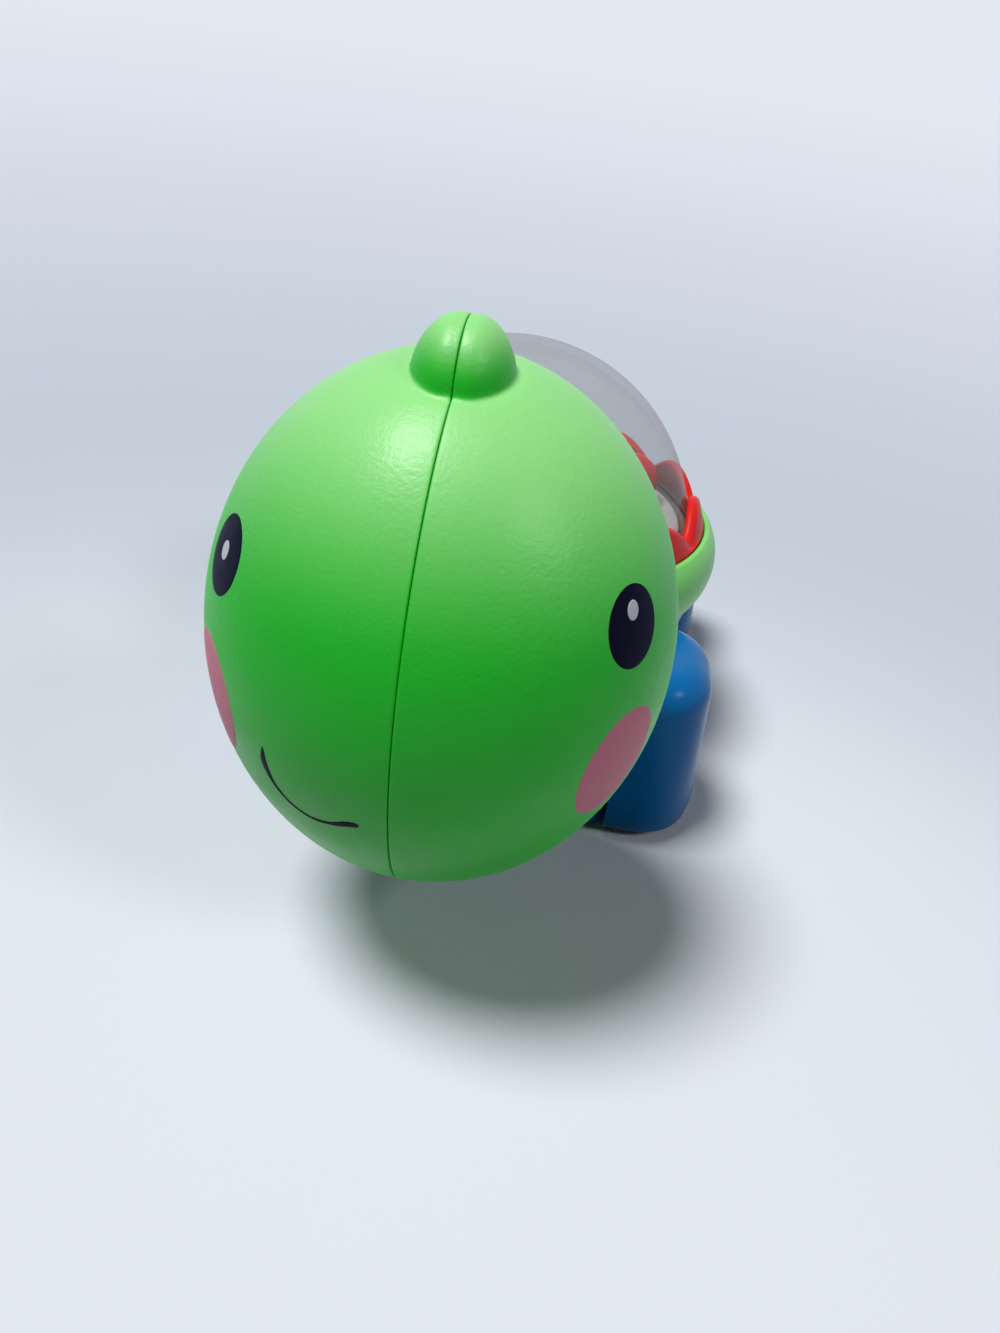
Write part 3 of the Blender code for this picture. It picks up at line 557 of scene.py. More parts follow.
def rounded(points, radius):
    """An outline of (radius, height) points with each inner corner rounded off."""
    out = [points[0]]
    for before, corner, after in zip(points, points[1:], points[2:]):
        p = np.array(corner)
        to_a, to_b = np.array(before) - p, np.array(after) - p
        long_a, long_b = np.linalg.norm(to_a), np.linalg.norm(to_b)
        reach = min(radius, long_a / SIDE_PARTS, long_b / SIDE_PARTS)
        start, end = p + to_a / long_a * reach, p + to_b / long_b * reach
        for s in np.linspace(0, 1, CORNER_ARC):
            out.append(tuple((1 - s) ** 2 * start + 2 * s * (1 - s) * p + s**2 * end))
    return out + [points[-1]]


def ring_outline(points, radius):
    """A closed outline with all its corners rounded off."""
    return rounded([points[-1]] + points + [points[0]], radius)[1:-1]


def turned(name, profile, place, look, axis="Z", steps=TURN_STEPS, ring=False):
    """A shape turned about an axis through a place, from (radius, height) points; ring joins their ends."""
    around = np.linspace(0, 2 * math.pi, steps, endpoint=False)
    points = [(r * math.cos(a), r * math.sin(a), height) for r, height in profile for a in around]
    rows = len(profile)
    faces = grid_faces(rows, steps)
    if ring:
        last = (rows - 1) * steps
        faces += [(last + c, last + (c + 1) % steps, (c + 1) % steps, c) for c in range(steps)]
    obj = mesh_object(name, points, faces, look)
    obj.data.transform(Matrix.Translation(place) @ AXIS_TURNS[axis])
    return obj


def cut(obj, tool, operation="DIFFERENCE"):
    """Applies a Boolean and removes the tool."""
    boolean = obj.modifiers.new("cut", "BOOLEAN")
    boolean.object = tool
    boolean.operation = operation
    boolean.solver = "EXACT"
    bake(obj)
    bpy.data.objects.remove(tool)


def bake(obj):
    """Turns the object's modifiers into its mesh."""
    depsgraph = bpy.context.evaluated_depsgraph_get()
    mesh = bpy.data.meshes.new_from_object(obj.evaluated_get(depsgraph))
    obj.modifiers.clear()
    obj.data = mesh


def even_flats(obj):
    """Smooth shading that stops at sharp edges and keeps large flat faces flat in the light."""
    smooth_outwards(obj.data)
    flats = obj.modifiers.new("flats", "WEIGHTED_NORMAL")
    flats.weight = 100
    flats.keep_sharp = True
    bake(obj)


def soft_edges(obj, width):
    """A modifier that rounds the object's sharp edges."""
    bevel = obj.modifiers.new("edges", "BEVEL")
    bevel.width = width
    bevel.segments = EDGE_SEGMENTS
    bevel.limit_method = "ANGLE"
    bevel.angle_limit = SHARP_ANGLE
    return bevel


def rod_tool(radius, length, axis, place):
    """A round rod about an axis, to cut or join with."""
    half = length / 2
    profile = [(0, -half), (radius, -half), (radius, half), (0, half)]
    return turned("tool", profile, place, None, axis, CUTTER_STEPS)


def block(low, high):
    """A box between two corners."""
    bm = bmesh.new()
    bmesh.ops.create_cube(bm, size=1)
    bmesh.ops.scale(bm, vec=high - low, verts=bm.verts)
    bmesh.ops.translate(bm, vec=(low + high) / 2, verts=bm.verts)
    return bm


def upright_edges(bm):
    return [e for e in bm.edges if abs(e.verts[0].co.z - e.verts[1].co.z) > FIT]


def edges_at(bm, level):
    return [e for e in bm.edges if all(v.co.z > level - FIT for v in e.verts)]


def round_off(bm, edges, radius, segments):
    bmesh.ops.bevel(bm, geom=edges, offset=radius, segments=segments, profile=0.5, affect="EDGES")


def box_tool(low, high, corner=0.0, brow=0.0):
    """A box to cut or join with, its upright and then its top edges rounded where a radius is given."""
    bm = block(low, high)
    if corner:
        round_off(bm, upright_edges(bm), corner, BOX_CORNER_SEGMENTS)
    if brow:
        round_off(bm, edges_at(bm, high.z), brow, BOX_BROW_SEGMENTS)
    return block_object("tool", bm, None)


def egg_distance(points, radii):
    """Distance from an egg's surface, near enough for blending."""
    near = np.linalg.norm(points / radii, axis=-1)
    slope = np.linalg.norm(points / radii**2, axis=-1)
    return near * (near - 1) / np.maximum(slope, LEAST_SLOPE)


def head_distance(points):
    """Distance from the head's surface, the tuft blended in, for points given from the head's centre."""
    on_head = HEAD_RADII[2] * math.sqrt(1 - (TUFT_FORWARD / HEAD_RADII[1]) ** 2)
    tuft_points = points - np.array((0, -TUFT_FORWARD, on_head - TUFT_SINK))
    valley = TUFT_VALLEY * np.exp(-((points[..., 0] / TUFT_VALLEY_WIDTH) ** 2))
    tuft = egg_distance(tuft_points, TUFT_RADII) + valley
    head = egg_distance(points, HEAD_RADII)
    share = np.clip(0.5 + 0.5 * (tuft - head) / TUFT_FILLET, 0, 1)
    crease = TUFT_CREASE * np.exp(-(((tuft - head) / TUFT_CREASE_WIDTH) ** 2))
    return tuft + (head - tuft) * share - TUFT_FILLET * share * (1 - share) + crease


def slice_angles():
    """Angles round a slice of the head, closer together over the tuft."""
    tuft = math.atan2(HEAD_RADII[2], -TUFT_FORWARD)
    over = np.radians(np.linspace(-TUFT_SPAN, TUFT_SPAN, TUFT_ANGLES))
    rest = np.radians(np.linspace(TUFT_SPAN, 360 - TUFT_SPAN, REST_ANGLES))[1:-1]
    return tuft + np.concatenate((over, rest))


def head_slices():
    """Pairs of a slice's distance from the middle plane and how far its edge is set in, seam first."""
    bends = np.linspace(0, math.pi / 2, SEAM_SLICES)
    seam = [(SEAM_GAP + SEAM_ROUND * (1 - math.cos(b)), SEAM_ROUND * (1 - math.sin(b))) for b in bends]
    edge = SEAM_GAP + SEAM_ROUND
    tuft = edge + (TUFT_RADII[0] - edge) * np.sin(np.linspace(0, math.pi / 2, TUFT_SLICES)[1:])
    beside = np.linspace(TUFT_RADII[0], TUFT_REACH, BESIDE_SLICES)[1:]
    start = math.asin(TUFT_REACH / HEAD_RADII[0])
    far = HEAD_RADII[0] * np.sin(np.linspace(start, LAST_SLICE, FAR_SLICES)[1:])
    return seam + [(x, 0) for x in (*tuft, *beside, *far)]


def head_ring(x, inset, angles):
    """Points where the head's surface meets a slice, found by halving along rays from its middle."""
    rays = np.stack((np.zeros_like(angles), np.cos(angles), np.sin(angles)), axis=1)
    low, high = np.zeros(len(angles)), np.full(len(angles), HEAD_HEIGHT)
    start = np.array((x, 0, 0))
    for _ in range(HALVINGS):
        middle = (low + high) / 2
        outside = head_distance(start + rays * middle[:, None]) > -inset
        high = np.where(outside, middle, high)
        low = np.where(outside, low, middle)
    return start + rays * low[:, None]


def inner_ring(x, angles):
    """Points of the hollow inside the head on a slice."""
    radii = HEAD_RADII - HEAD_WALL
    size = math.sqrt(max(0, 1 - (x / radii[0]) ** 2))
    return np.stack((np.full_like(angles, x), radii[1] * size * np.cos(angles),
                     radii[2] * size * np.sin(angles)), axis=1)


def build_head():
    """Two hollow halves whose edges round off into the seam."""
    angles = slice_angles()
    rings = [head_ring(x, inset, angles) for x, inset in head_slices()]
    outer_pole = np.tile((HEAD_RADII[0], 0, 0), (len(angles), 1))
    steps = np.linspace(0, math.pi / 2, HOLLOW_SLICES)
    hollow = SEAM_GAP + (HEAD_RADII[0] - HEAD_WALL - SEAM_GAP) * np.sin(steps)
    inside = [inner_ring(x, angles) for x in hollow]
    points = np.concatenate(inside[::-1] + rings + [outer_pole])
    faces = grid_faces(len(inside) + len(rings) + 1, len(angles))
    back = Vector((0, HEAD_CENTRE[1] + HEAD_RADII[1], NECK_LEVEL))
    for side, name in ((1, "head_left_half"), (-1, "head_right_half")):
        half = mesh_object(name + "_shell", points * (side, 1, 1) + HEAD_CENTRE, faces, SLOTS[name])
        cut(half, rod_tool(NECK_RADIUS - NECK_GROOVE + FIT, 2 * HEAD_RADII[1], "Y", back))
        smooth_outwards(half.data, HEAD_SHARP_ANGLE)
        stands_for(half, name)


def head_point(around, up):
    """The point of the head's surface seen at two angles from its middle, without the tuft."""
    ray = np.array((math.sin(around) * math.cos(up), -math.cos(around) * math.cos(up), math.sin(up)))
    return ray / np.linalg.norm(ray / HEAD_RADII)


def head_normal(point):
    """The direction in which the head's surface looks at a point."""
    normal = point / HEAD_RADII**2
    return normal / np.linalg.norm(normal)


def onto_head(point, normal, height):
    """Moves a point along a normal onto the head's surface and then out by a height."""
    a = np.sum((normal / HEAD_RADII) ** 2)
    b = 2 * np.sum(point * normal / HEAD_RADII**2)
    c = np.sum((point / HEAD_RADII) ** 2) - 1
    away = (-b + math.sqrt(b * b - 4 * a * c)) / (2 * a)
    landed = point + away * normal
    return landed + height * head_normal(landed)


def oval_print(name, at, radii, tilt, side, look, lift=0.0):
    """A thin oval of ink that lies on the head."""
    middle = head_point(*at)
    normal = head_normal(middle)
    across = np.cross((0, 0, 1), normal)
    across /= np.linalg.norm(across)
    up = np.cross(normal, across)
    points = []
    for share, height in OVAL_SECTION:
        for a in np.linspace(0, 2 * math.pi, OVAL_STEPS, endpoint=False):
            u, v = radii[0] * share * math.cos(a), radii[1] * share * math.sin(a)
            flat = across * (u * math.cos(tilt) - v * math.sin(tilt))
            flat = flat + up * (u * math.sin(tilt) + v * math.cos(tilt))
            points.append(onto_head(middle + flat, normal, height + lift))
    faces = grid_faces(len(OVAL_SECTION), OVAL_STEPS)
    points = np.array(points) * (side, 1, 1) + HEAD_CENTRE
    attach(mesh_object(name, points, faces, look), BODY)


def curve_through(values, count):
    """Evenly spread values on a smooth curve through given ones."""
    values = np.array(values, float)
    padded = np.vstack((2 * values[0] - values[1], values, 2 * values[-1] - values[-2]))
    out = []
    for t in np.linspace(0, len(values) - 1, count):
        i = min(int(t), len(values) - 2)
        s = t - i
        p0, p1, p2, p3 = padded[i:i + 4]
        out.append(0.5 * (2 * p1 + (p2 - p0) * s + (2 * p0 - 5 * p1 + 4 * p2 - p3) * s * s
                          + (3 * p1 - p0 - 3 * p2 + p3) * s**3))
    return np.array(out)


def build_smile():
    """A curved line of ink, thick towards both ends and only on the toy's right."""
    count, columns = SMILE_STEPS, len(SMILE_SECTION)
    line = [head_point(math.radians(a), math.radians(b)) for a, b in curve_through(SMILE, count)]
    widths = curve_through([(w,) for w in SMILE_WIDTHS], count)[:, 0] * MM / 2
    ends = np.minimum(np.arange(count), np.arange(count)[::-1]) / SMILE_TAPER_STEPS
    widths = widths * np.sqrt(np.clip(1 - (1 - np.clip(ends, 0, 1)) ** 2, SMILE_TIP, 1))
    points = []
    for i, middle in enumerate(line):
        along = line[min(i + 1, count - 1)] - line[max(i - 1, 0)]
        normal = head_normal(middle)
        across = np.cross(normal, along)
        across /= np.linalg.norm(across)
        points += [onto_head(middle + across * widths[i] * s, normal, h) for s, h in SMILE_SECTION]
    faces = grid_faces(count, columns)
    faces += [tuple(range(columns)), tuple(range((count - 1) * columns, count * columns))]
    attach(mesh_object("smile_print", np.array(points) + HEAD_CENTRE, faces, "navy ink"), BODY)


def build_prints():
    """Eyes with a pale dot each, cheeks, and the smile."""
    for name, side in (("left", 1), ("right", -1)):
        oval_print(f"{name}_eye_print", EYE_AT, EYE_RADII, EYE_TILT, side, "navy ink")
        dot_at = (EYE_AT[0], EYE_AT[1] + GLINT_LIFT[name])
        oval_print(f"{name}_eye_dot", dot_at, GLINT_RADII, EYE_TILT, side, "pale ink", PRINT_HEIGHT)
        oval_print(f"{name}_cheek_print", CHEEK_AT, CHEEK_RADII, CHEEK_TILT, side, "pink ink")
    build_smile()


def build_dome():
    """A clear half ball with a flat flange."""
    inner = DOME_RADIUS - DOME_WALL
    foot = DOME_LOW[2] - SHELL_LEVEL
    over_flange = foot + DOME_WALL
    flange = DOME_HIGH[0]
    start = math.degrees(math.asin(over_flange / DOME_RADIUS))
    end = math.degrees(math.asin(foot / inner))
    outside = arc((0, 0), DOME_RADIUS, 90, start, DOME_ARC)
    edge = rounded([outside[-1], (flange, over_flange), (flange, foot), (inner, foot)], EDGE_ROUND)[1:-1]
    place = Vector((0, SHELL_Y, SHELL_LEVEL))
    profile = outside + edge + arc((0, 0), inner, end, 90, DOME_ARC)
    dome = turned("clear_dome_shell", profile, place, SLOTS["clear_dome"])
    dome.data.materials.append(LOOKS["clear inside"])
    dome.data.materials.append(LOOKS["frosted flange"])
    inside_look, flange_look = 1, 2
    middle = DOME_RADIUS - DOME_WALL / 2
    for face in dome.data.polygons:
        if face.center.z < RIM_HIGH[2]:
            face.material_index = flange_look
        elif (face.center - place).length < middle:
            face.material_index = inside_look
    stands_for(dome, "clear_dome")


def petal_height(around):
    """Height of the crown's edge over the dome's centre."""
    wave = (0.5 + 0.5 * math.cos(CROWN_PETALS * around)) ** PETAL_FULLNESS
    return CROWN_VALLEY + (CROWN_TIP - CROWN_VALLEY) * wave


def crown_section(top, lip, foot):
    """The crown's section for a petal this high: distances from the dome's centre, with heights."""
    inner, half = DOME_RADIUS + FIT, CROWN_EDGE / 2
    rows = np.linspace(0, 1, PETAL_ROWS)
    levels = lip + (top - half - lip) * rows
    outer = inner + CROWN_EDGE + (CROWN_THICKNESS - CROWN_EDGE) * (1 - rows)
    bends = np.linspace(0, math.pi, PETAL_ROWS)[1:-1]
    edge = [(inner + half * (1 - math.cos(b)), top - half + half * math.sin(b)) for b in bends]
    inside = [(inner, level) for level in levels]
    outside = list(zip(outer, levels))[::-1]
    spigot = [(math.hypot(DOME_HIGH[0], level), level) for level in (lip, foot)]
    return inside + edge + outside + spigot + [(inner, foot)]


def build_crown():
    """A band that hugs the dome, thins upwards and ends in petals with soft edges."""
    crown_low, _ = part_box("petal_crown")
    foot = crown_low[2] - SHELL_LEVEL
    lip = RIM_HIGH[2] + FIT - SHELL_LEVEL
    rings = []
    for around in np.linspace(0, 2 * math.pi, CROWN_PETALS * PETAL_STEPS, endpoint=False):
        section = crown_section(petal_height(around), lip, foot)
        outs = [(math.sqrt(away**2 - z**2), z) for away, z in section]
        turn = around + CROWN_TURN
        rings.append([(out * math.cos(turn), out * math.sin(turn), z) for out, z in outs])
    rings.append(rings[0])
    points = np.concatenate(rings) + (0, SHELL_Y, SHELL_LEVEL)
    faces = grid_faces(len(rings), len(rings[0]))
    stands_for(mesh_object("petal_crown_band", points, faces, SLOTS["petal_crown"]), "petal_crown")


def rim_angles(radius):
    """Angles in degrees at which the rim's round side meets its top and its bottom, at a radius."""
    top = math.degrees(math.asin((RIM_HIGH[2] - SHELL_LEVEL) / radius))
    bottom = math.degrees(math.asin((RIM_LOW[2] - SHELL_LEVEL) / radius))
    return top, bottom


def build_rim():
    """The fat green band under the dome, hollow and with a ledge inside."""
    core = (RIM_RADIUS - RIM_ROUND, SHELL_LEVEL)
    seat = DOME_HIGH[0] + FIT
    ledge = DOME_LOW[2] - FIT
    hollow = RIM_ROUND - RIM_WALL
    top, bottom = rim_angles(RIM_ROUND)
    _, low = rim_angles(hollow)
    under_ledge = ledge - RIM_WALL
    high = math.degrees(math.asin((under_ledge - SHELL_LEVEL) / hollow))
    outside = arc(core, RIM_ROUND, top, bottom, RIM_ARC)
    inside = arc(core, hollow, low, high, RIM_HOLLOW_ARC)
    reach = seat - LEDGE_REACH
    lip = [inside[-1], (reach, under_ledge), (reach, ledge), (seat, ledge), (seat, RIM_HIGH[2])]
    profile = outside[1:-1] + rounded(outside[-2:] + inside[:2], EDGE_ROUND)[1:-1] + inside[1:]
    profile += rounded(lip + outside[:2], LIP_ROUND)[1:-1]
    rim = turned("shell_rim_band", profile, SHELL_AXIS, SLOTS["shell_rim"], ring=True)
    cut(rim, neck_tool())
    smooth_outwards(rim.data)
    stands_for(rim, "shell_rim")


def neck_tool():
    """A cutter for the neck's hole in the front of the rim and the bowl."""
    return rod_tool(NECK_RADIUS + FIT, RIM_RADIUS, "Y", Vector((0, RIM_LOW[1], NECK_LEVEL)))


def bowl_side(grow, count):
    """The bowl's side from its top edge down to the axis, grown by a margin."""
    under_rim = RIM_ROUND * (1 - math.cos(math.radians(rim_angles(RIM_ROUND)[1])))
    radius = RIM_RADIUS - under_rim - FIT + grow
    quarter = arc((0, 0), 1, 0, -90, count)
    return [(radius * r, BODY_HIGH[2] + (BOWL_DEPTH + grow) * z) for r, z in quarter]


def build_lower_body():
    """Bowl and chassis in one smooth moulding, hollow and open below."""
    _, plate = corners("bottom_plate")
    bowl = [(0, BODY_HIGH[2])] + bowl_side(0, BOWL_ARC)
    body = turned("lower_body_shell", bowl, SHELL_AXIS, SLOTS["lower_body"])
    half = Vector((plate.x + FIT, plate.y - SHELL_Y + FIT, 0))
    wall = Vector((BODY_WALL, BODY_WALL, 0))
    low = SHELL_AXIS - half + Vector((0, 0, BODY_LOW[2]))
    high = SHELL_AXIS + half + Vector((0, 0, CHASSIS_TOP))
    cut(body, box_tool(low - wall, high + wall, CHASSIS_CORNER, CHASSIS_BROW), "UNION")
    inside = bowl_side(-BODY_WALL, BOWL_CUTTER_ARC)
    over = BODY_HIGH[2] + PAST
    cut(body, turned("tool", [(0, over), (inside[0][0], over)] + inside, SHELL_AXIS, None))
    low.z -= PAST
    high.z -= BODY_WALL
    cut(body, box_tool(low, high, CHASSIS_CORNER - BODY_WALL))
    cut(body, neck_tool())
    for axle in AXLES:
        low, high = corners(axle)
        cut(body, rod_tool((high.z - low.z) / 2 + FIT, high.x - low.x, "X", (low + high) / 2))
    even_flats(body)
    stands_for(body, "lower_body")


def foot_block(low, high, corner, crown):
    """A block rounded outside and on top, drawn in below and leaning in upwards, inner side at low X."""
    bm = block(low, high)
    beyond = low.x + FIT
    outer = [e for e in upright_edges(bm) if all(v.co.x > beyond for v in e.verts)]
    round_off(bm, outer, corner, FOOT_CORNER_SEGMENTS)
    top = [e for e in edges_at(bm, high.z) if any(v.co.x > beyond for v in e.verts)]
    round_off(bm, top, crown, FOOT_CROWN_SEGMENTS)
    tuck(bm, low, high, corner)
    for vert in bm.verts:
        up = (vert.co.z - low.z) / (high.z - low.z)
        out = (vert.co.x - low.x) / (high.x - low.x)
        vert.co.x -= FOOT_DRAFT * up * out
    return bm


def tuck(bm, low, high, corner):
    """Draws the lower end of a foot's block in, on its outer side and both ends, in a rounded edge."""
    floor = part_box(FEET[0])[0][2]
    for share in np.linspace(0, 1, FOOT_TUCK_STEPS + 1):
        level = (0, 0, floor + FOOT_TUCK_HEIGHT * share**2)
        bmesh.ops.bisect_plane(bm, geom=bm.verts[:] + bm.edges[:] + bm.faces[:], dist=SAME_POINT,
                               plane_co=level, plane_no=(0, 0, 1))
    middle, half = (low.y + high.y) / 2, (high.y - low.y) / 2
    for vert in bm.verts:
        fall = min(max(1 - (vert.co.z - floor) / FOOT_TUCK_HEIGHT, 0), 1)
        along = vert.co.y - middle
        past_end = math.copysign(max(abs(along) - (half - corner), 0), along)
        away = Vector((max(vert.co.x - (high.x - corner), 0), past_end, 0))
        vert.co -= away.normalized() * FOOT_TUCK * (1 - math.sqrt(1 - fall**2))


def foot_object(name, bm, side, look):
    """A foot's block as an object on the toy's left, side 1, or its right, side -1."""
    bmesh.ops.scale(bm, vec=(side, 1, 1), verts=bm.verts)
    bmesh.ops.recalc_face_normals(bm, faces=bm.faces)
    return block_object(name, bm, look)


def body_envelope(grow):
    """Rim and bowl as one solid, grown by a margin."""
    top, bottom = rim_angles(RIM_ROUND + grow)
    core = (RIM_RADIUS - RIM_ROUND, SHELL_LEVEL)
    side = arc(core, RIM_ROUND + grow, top, bottom, ENVELOPE_ARC) + bowl_side(grow, BOWL_CUTTER_ARC)
    return turned("tool", [(0, RIM_HIGH[2])] + side, SHELL_AXIS, None, steps=ENVELOPE_STEPS)


def build_feet():
    """Rounded covers over the wheels, hollow, open below and slotted for the axles."""
    wall = Vector.Fill(3, FOOT_WALL)
    for name in FEET:
        side = 1 if "left" in name else -1
        low, high = corners(name)
        low.x, high.x = sorted((abs(low.x), abs(high.x)))
        outside = foot_block(low, high, FOOT_CORNER, FOOT_CROWN)
        foot = foot_object(name + "_cover", outside, side, SLOTS[name])
        hollow_low = low + Vector((FOOT_WALL, FOOT_WALL, -PAST))
        inside = foot_block(hollow_low, high - wall, FOOT_CORNER - FOOT_WALL, FOOT_CROWN - FOOT_WALL)
        hollow = foot_object("tool", inside, side, None)
        cut(hollow, body_envelope(FIT + FOOT_WALL))
        cut(foot, hollow)
        cut(foot, body_envelope(FIT))
        cut(foot, axle_slot(name.split("_")[0] + "_axle", low.z, low.x + FOOT_WALL + FIT))
        soft_edges(foot, FOOT_EDGE)
        bake(foot)
        even_flats(foot)
        stands_for(foot, name)


def axle_slot(axle, bottom, reach):
    """A cutter for the slots, open below, through which an axle goes into both of its feet."""
    low, high = corners(axle)
    low = Vector((-reach, low.y - AXLE_ROOM, bottom - PAST))
    return box_tool(low, Vector((reach, high.y + AXLE_ROOM, high.z + AXLE_ROOM)))


def ball_profile(radius):
    """A ball's outline with the fine ridge that two mould halves leave and a dimple at the gate."""
    profile = []
    for up in np.linspace(-90, 90, BALL_ARC):
        ridge = BALL_RIDGE * (1 - math.exp(-((up / BALL_RIDGE_WIDTH) ** 2)))
        gate = BALL_GATE * math.exp(-(((up - 90) / BALL_GATE_WIDTH) ** 2))
        size = radius - ridge - gate
        profile.append((size * math.cos(math.radians(up)), size * math.sin(math.radians(up))))
    return profile


def build_balls():
    """Loose balls, each turned another way."""
    balls = [node for node in frame["nodes"] if node.startswith("ball_") and node != "ball_tray"]
    for i, node in enumerate(balls):
        low, high = corners(node)
        profile = ball_profile((high.z - low.z) / 2)
        ball = turned(node + "_shell", profile, Vector(), SLOTS[node], steps=BALL_STEPS)
        tilt = Matrix.Rotation(BALL_TILT * i + BALL_FIRST_TILT, 4, "X")
        spin = Matrix.Rotation(BALL_SPIN * i, 4, "Z")
        ball.data.transform(Matrix.Translation((low + high) / 2) @ (tilt @ spin))
        stands_for(ball, node)


def wheel_outline(radius, half, band):
    """A wheel's section: dished on its outer face, with a groove of this half width if it has a band."""
    tread = [(radius - WHEEL_EDGE, half), (radius, half - WHEEL_EDGE)]
    if band:
        groove = radius - BAND_GROOVE
        tread += [(radius, band), (groove, band), (groove, -band), (radius, -band)]
    tread += [(radius, WHEEL_EDGE - half), (radius - WHEEL_EDGE, -half)]
    dish_rim, floor = radius - WHEEL_EDGE - WHEEL_RIM, half - WHEEL_DISH
    hub = [(WHEEL_BORE, -half), (WHEEL_BORE, half), (WHEEL_HUB, half), (WHEEL_HUB, floor)]
    return tread + hub + [(dish_rim, floor), (dish_rim, half)]


def build_wheels():
    """Turned wheels with soft edges, and the rear pair's rubber bands."""
    for name in WHEELS:
        low, high = corners(name)
        band_half = 0
        if "rear" in name:
            band_low, band_high = corners(name.replace("wheel", "band"))
            band_half = (band_high.x - band_low.x) / 2 + FIT
        outline = wheel_outline((high.z - low.z) / 2, (high.x - low.x) / 2, band_half)
        profile = ring_outline(outline, EDGE_ROUND)
        wheel = turned(name + "_turned", profile, Vector(), SLOTS[name], ring=True)
        side = 1 if "left" in name else -1
        turn = Matrix.Rotation(side * math.pi / 2, 4, "Y")
        wheel.data.transform(Matrix.Translation((low + high) / 2) @ turn)
        stands_for(wheel, name)
    for name in BANDS:
        low, high = corners(name)
        half, radius = (high.x - low.x) / 2, (high.z - low.z) / 2
        inner = radius - BAND_THICKNESS
        outline = [(radius, half), (radius, -half), (inner, -half), (inner, half)]
        profile = ring_outline(outline, BAND_ROUND)
        band = turned(name + "_turned", profile, (low + high) / 2, SLOTS[name], "X", ring=True)
        stands_for(band, name)


def build_rods():
    """Axles and the popper's pin, with chamfered ends."""
    for name in (*AXLES, "popper_pin"):
        low, high = corners(name)
        half, radius = (high.x - low.x) / 2, (high.z - low.z) / 2
        end = [(0, half), (radius - AXLE_CHAMFER, half), (radius, half - AXLE_CHAMFER)]
        profile = end + [(r, -x) for r, x in reversed(end)]
        stands_for(turned(name + "_rod", profile, (low + high) / 2, SLOTS[name], "X", ROD_STEPS), name)


def build_popper():
    """The hinged arm over the cam, with a post and a round plate that strikes the ball from below."""
    low, high = corners("popper_arm")
    pin_low, pin_high = corners("popper_pin")
    pin = (pin_low + pin_high) / 2
    middle = Vector((0, low.y + high.x, 0))
    under = high.z - STRIKER_THICKNESS
    plate = rounded([(0, under), (high.x, under), (high.x, high.z), (0, high.z)], STRIKER_ROUND)
    arm = turned("popper_lever", plate, middle, SLOTS["popper_arm"])
    half = Vector((ARM_POST / 2, ARM_POST / 2, 0))
    foot = middle - half + Vector((0, 0, low.z + ARM_THICKNESS / 2))
    top = middle + half + Vector((0, 0, high.z - STRIKER_THICKNESS / 2))
    cut(arm, box_tool(foot, top, ARM_POST_CORNER), "UNION")
    beam_end = Vector((-ARM_BEAM / 2, foot.y - PAST, low.z))
    cut(arm, box_tool(beam_end, Vector((ARM_BEAM / 2, pin.y, low.z + ARM_THICKNESS))), "UNION")
    cut(arm, rod_tool(high.y - pin.y, ARM_HUB_WIDTH, "X", pin), "UNION")
    cut(arm, rod_tool(pin_high.z - pin.z + FIT, ARM_HUB_WIDTH + PAST, "X", pin))
    even_flats(arm)
    stands_for(arm, "popper_arm")


def build_tray():
    """The floor under the dome, falling towards its hole."""
    low, high = corners("ball_tray")
    well, under = DOME_HIGH[0] - LEDGE_REACH, high.z - TRAY_WALL
    outline = [(high.x, high.z), (high.x, under), (well, under), (TRAY_HOLE, low.z),
               (TRAY_HOLE, low.z + TRAY_WALL), (well, high.z)]
    profile = ring_outline(outline, TRAY_ROUND)
    tray = turned("ball_tray_turned", profile, SHELL_AXIS, SLOTS["ball_tray"], ring=True)
    stands_for(tray, "ball_tray")


def build_neck():
    """The post that carries the head: a disc in the head, a groove in its wall, a flange in the body."""
    low, high = corners("neck_post")
    flange, groove = (high.z - low.z) / 2, NECK_RADIUS - NECK_GROOVE
    up = (NECK_LEVEL + NECK_RADIUS - HEAD_CENTRE[2]) / HEAD_RADII[2]
    shoulder = HEAD_CENTRE[1] + HEAD_RADII[1] * math.sqrt(1 - up**2) + FIT
    disc, body = low.y + NECK_DISC, high.y - NECK_DISC
    outline = [(0, low.y), (NECK_RADIUS, low.y), (NECK_RADIUS, disc), (groove, disc), (groove, shoulder),
               (NECK_RADIUS, shoulder), (NECK_RADIUS, body), (flange, body), (flange, high.y), (0, high.y)]
    profile = [(radius, -y) for radius, y in rounded(outline, EDGE_ROUND)]
    neck = turned("neck_post_turned", profile, Vector((0, 0, NECK_LEVEL)), SLOTS["neck_post"], "Y")
    stands_for(neck, "neck_post")


def build_screws():
    """Cross-head screws, heads down."""
    for name in SCREWS:
        low, high = corners(name)
        head, length = (high.x - low.x) / 2, high.z - low.z
        outline = [(0, 0), (SCREW_FACE, 0), (head, SCREW_HEAD_DEPTH / 2), (head, SCREW_HEAD_DEPTH),
                   (SCREW_SHANK, SCREW_HEAD_DEPTH), (SCREW_SHANK, length - SCREW_SHANK),
                   (SCREW_SHANK / 2, length), (0, length)]
        foot = Vector(((low.x + high.x) / 2, (low.y + high.y) / 2, low.z))
        profile = rounded(outline, SCREW_ROUND)
        screw = turned(name + "_turned", profile, foot, SLOTS[name], steps=SCREW_STEPS)
        for arm in (SCREW_CROSS, SCREW_CROSS.yxz):
            cut(screw, box_tool(foot - arm, foot + arm))
        smooth_outwards(screw.data)
        stands_for(screw, name)


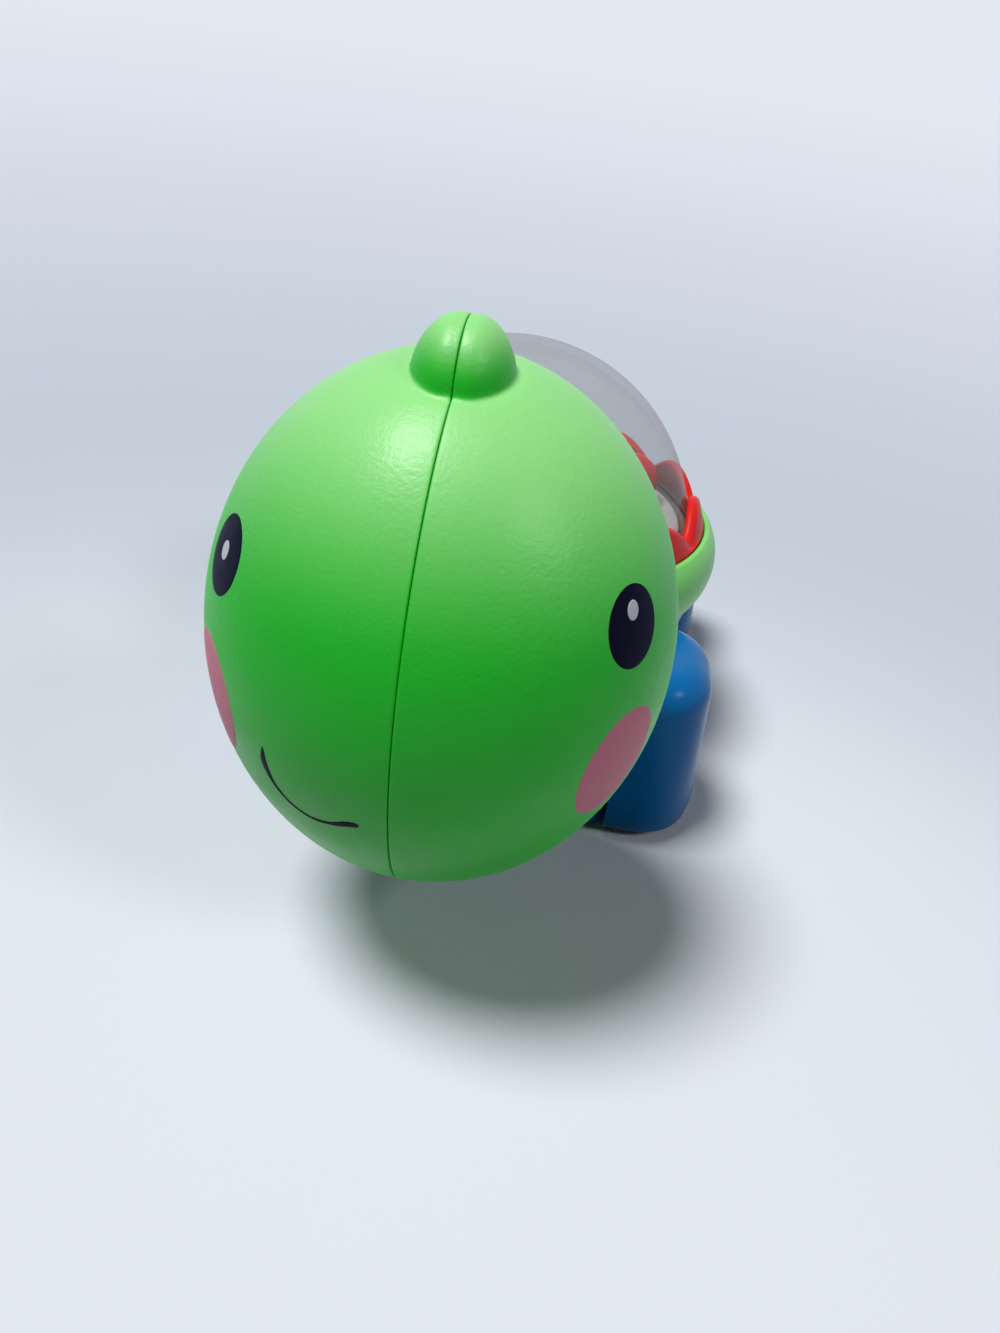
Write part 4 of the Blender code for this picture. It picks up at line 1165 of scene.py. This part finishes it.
def dress_cad():
    """Moulded pieces that keep their CAD shape get rounded edges and their plastic."""
    for name in ("popper_cam", "bottom_plate"):
        node = frame["nodes"][name]
        node.data.materials.clear()
        node.data.materials.append(LOOKS[SLOTS[name]])
        weld = node.modifiers.new("weld", "WELD")
        weld.merge_threshold = CAD_SAME_POINT
        soft_edges(node, CAD_EDGE).harden_normals = True


def floor_tones_with_painted_shade(n):
    """The floor's colour by its distance from a point in front of the toy, with a band of painted shade
    behind it.
    """
    from_middle = {0: n.coordinates(), 1: FLOOR_MIDDLE}
    away = n.add("ShaderNodeVectorMath", from_middle, operation="DISTANCE")["Value"]
    farthest = max(FLOOR_TONES_WITH_PAINTED_SHADE)
    tone = n.add("ShaderNodeValToRGB", {"Fac": n.compute("DIVIDE", away, farthest)})["Color"]
    ramp = tone.node.color_ramp
    ramp.interpolation = "B_SPLINE"
    while len(ramp.elements) < len(FLOOR_TONES_WITH_PAINTED_SHADE):
        ramp.elements.new(0.5)
    for stop, (distance, colour) in zip(ramp.elements, FLOOR_TONES_WITH_PAINTED_SHADE.items()):
        stop.position = distance / farthest
        stop.color = colour
    return tone


def build_stage():
    """A wide pale floor with a fine paper grain and a band of painted shade behind the toy, which throws
    little light back up at the toy.
    """
    n = Nodes(bpy.data.materials.new("paper floor"))
    dimmed = {0: floor_tones_with_painted_shade(n), "Scale": n.mapped(n.seen(), to=(FLOOR_BOUNCE, 1))}
    toned = n.add("ShaderNodeVectorMath", dimmed, operation="SCALE")["Vector"]
    n.feed(n.shader, {"Base Color": toned, "Specular IOR Level": 0.2})
    n.roughen(n.noise(40, detail=3), 0.75, 0.9)
    n.bump(n.noise(600, detail=3), strength=0.12, depth=0.2 * MM)
    LOOKS["floor"] = n.owner
    reach = FLOOR_REACH
    outline = [(-reach, -reach, 0), (reach, -reach, 0), (reach, reach, 0), (-reach, reach, 0)]
    mesh_object("floor", outline, [(0, 1, 2, 3)], "floor")


def far_light(name, source, width, strength):
    """A lamp far off in a direction, as wide in the sky as an angle."""
    lamp = bpy.data.lights.new(name, "SUN")
    lamp.angle = width
    lamp.energy = strength
    obj = bpy.data.objects.new(name, lamp)
    obj.rotation_euler = (-Vector(source)).to_track_quat("-Z", "Y").to_euler()
    bpy.context.scene.collection.objects.link(obj)


def build_light():
    """A soft key from above, a weaker lamp at the side, and a surround that shows as a backdrop."""
    far_light("key", KEY_FROM, KEY_WIDTH, KEY_STRENGTH)
    far_light("side", SIDE_FROM, SIDE_WIDTH, SIDE_STRENGTH)
    n = Nodes(bpy.data.worlds.new("studio"), "Background", "World Output")
    n.feed(n.shader, {"Color": FILL_COLOUR, "Strength": FILL_STRENGTH})
    backdrop = n.add("ShaderNodeBackground", {"Color": BACKDROP})[0]
    n.feed(n.output, {"Surface": n.mixed(n.seen(), n.shader.outputs[0], backdrop)})
    bpy.context.scene.world = n.owner


def build_camera():
    """A camera that sees the toy as the photograph does."""
    data = bpy.data.cameras.new("camera")
    data.sensor_width = SENSOR
    data.lens = PHOTO_FOCAL * SENSOR / max(PHOTO_SIZE)
    data.clip_start = CAMERA_NEAR
    camera = bpy.data.objects.new("camera", data)
    look = (CAMERA_TARGET - CAMERA_PLACE).to_track_quat("-Z", "Y").to_matrix().to_4x4()
    camera.matrix_world = Matrix.Translation(CAMERA_PLACE) @ look @ Matrix.Rotation(CAMERA_ROLL, 4, "Z")
    bpy.context.scene.collection.objects.link(camera)
    bpy.context.scene.camera = camera


def main():
    build_head()
    build_prints()
    build_neck()
    build_dome()
    build_crown()
    build_rim()
    build_popper()
    build_tray()
    build_balls()
    build_lower_body()
    build_feet()
    build_wheels()
    build_rods()
    build_screws()
    dress_cad()
    build_stage()
    build_light()
    build_camera()
    bpy.context.scene.view_settings.view_transform = "Standard"


main()
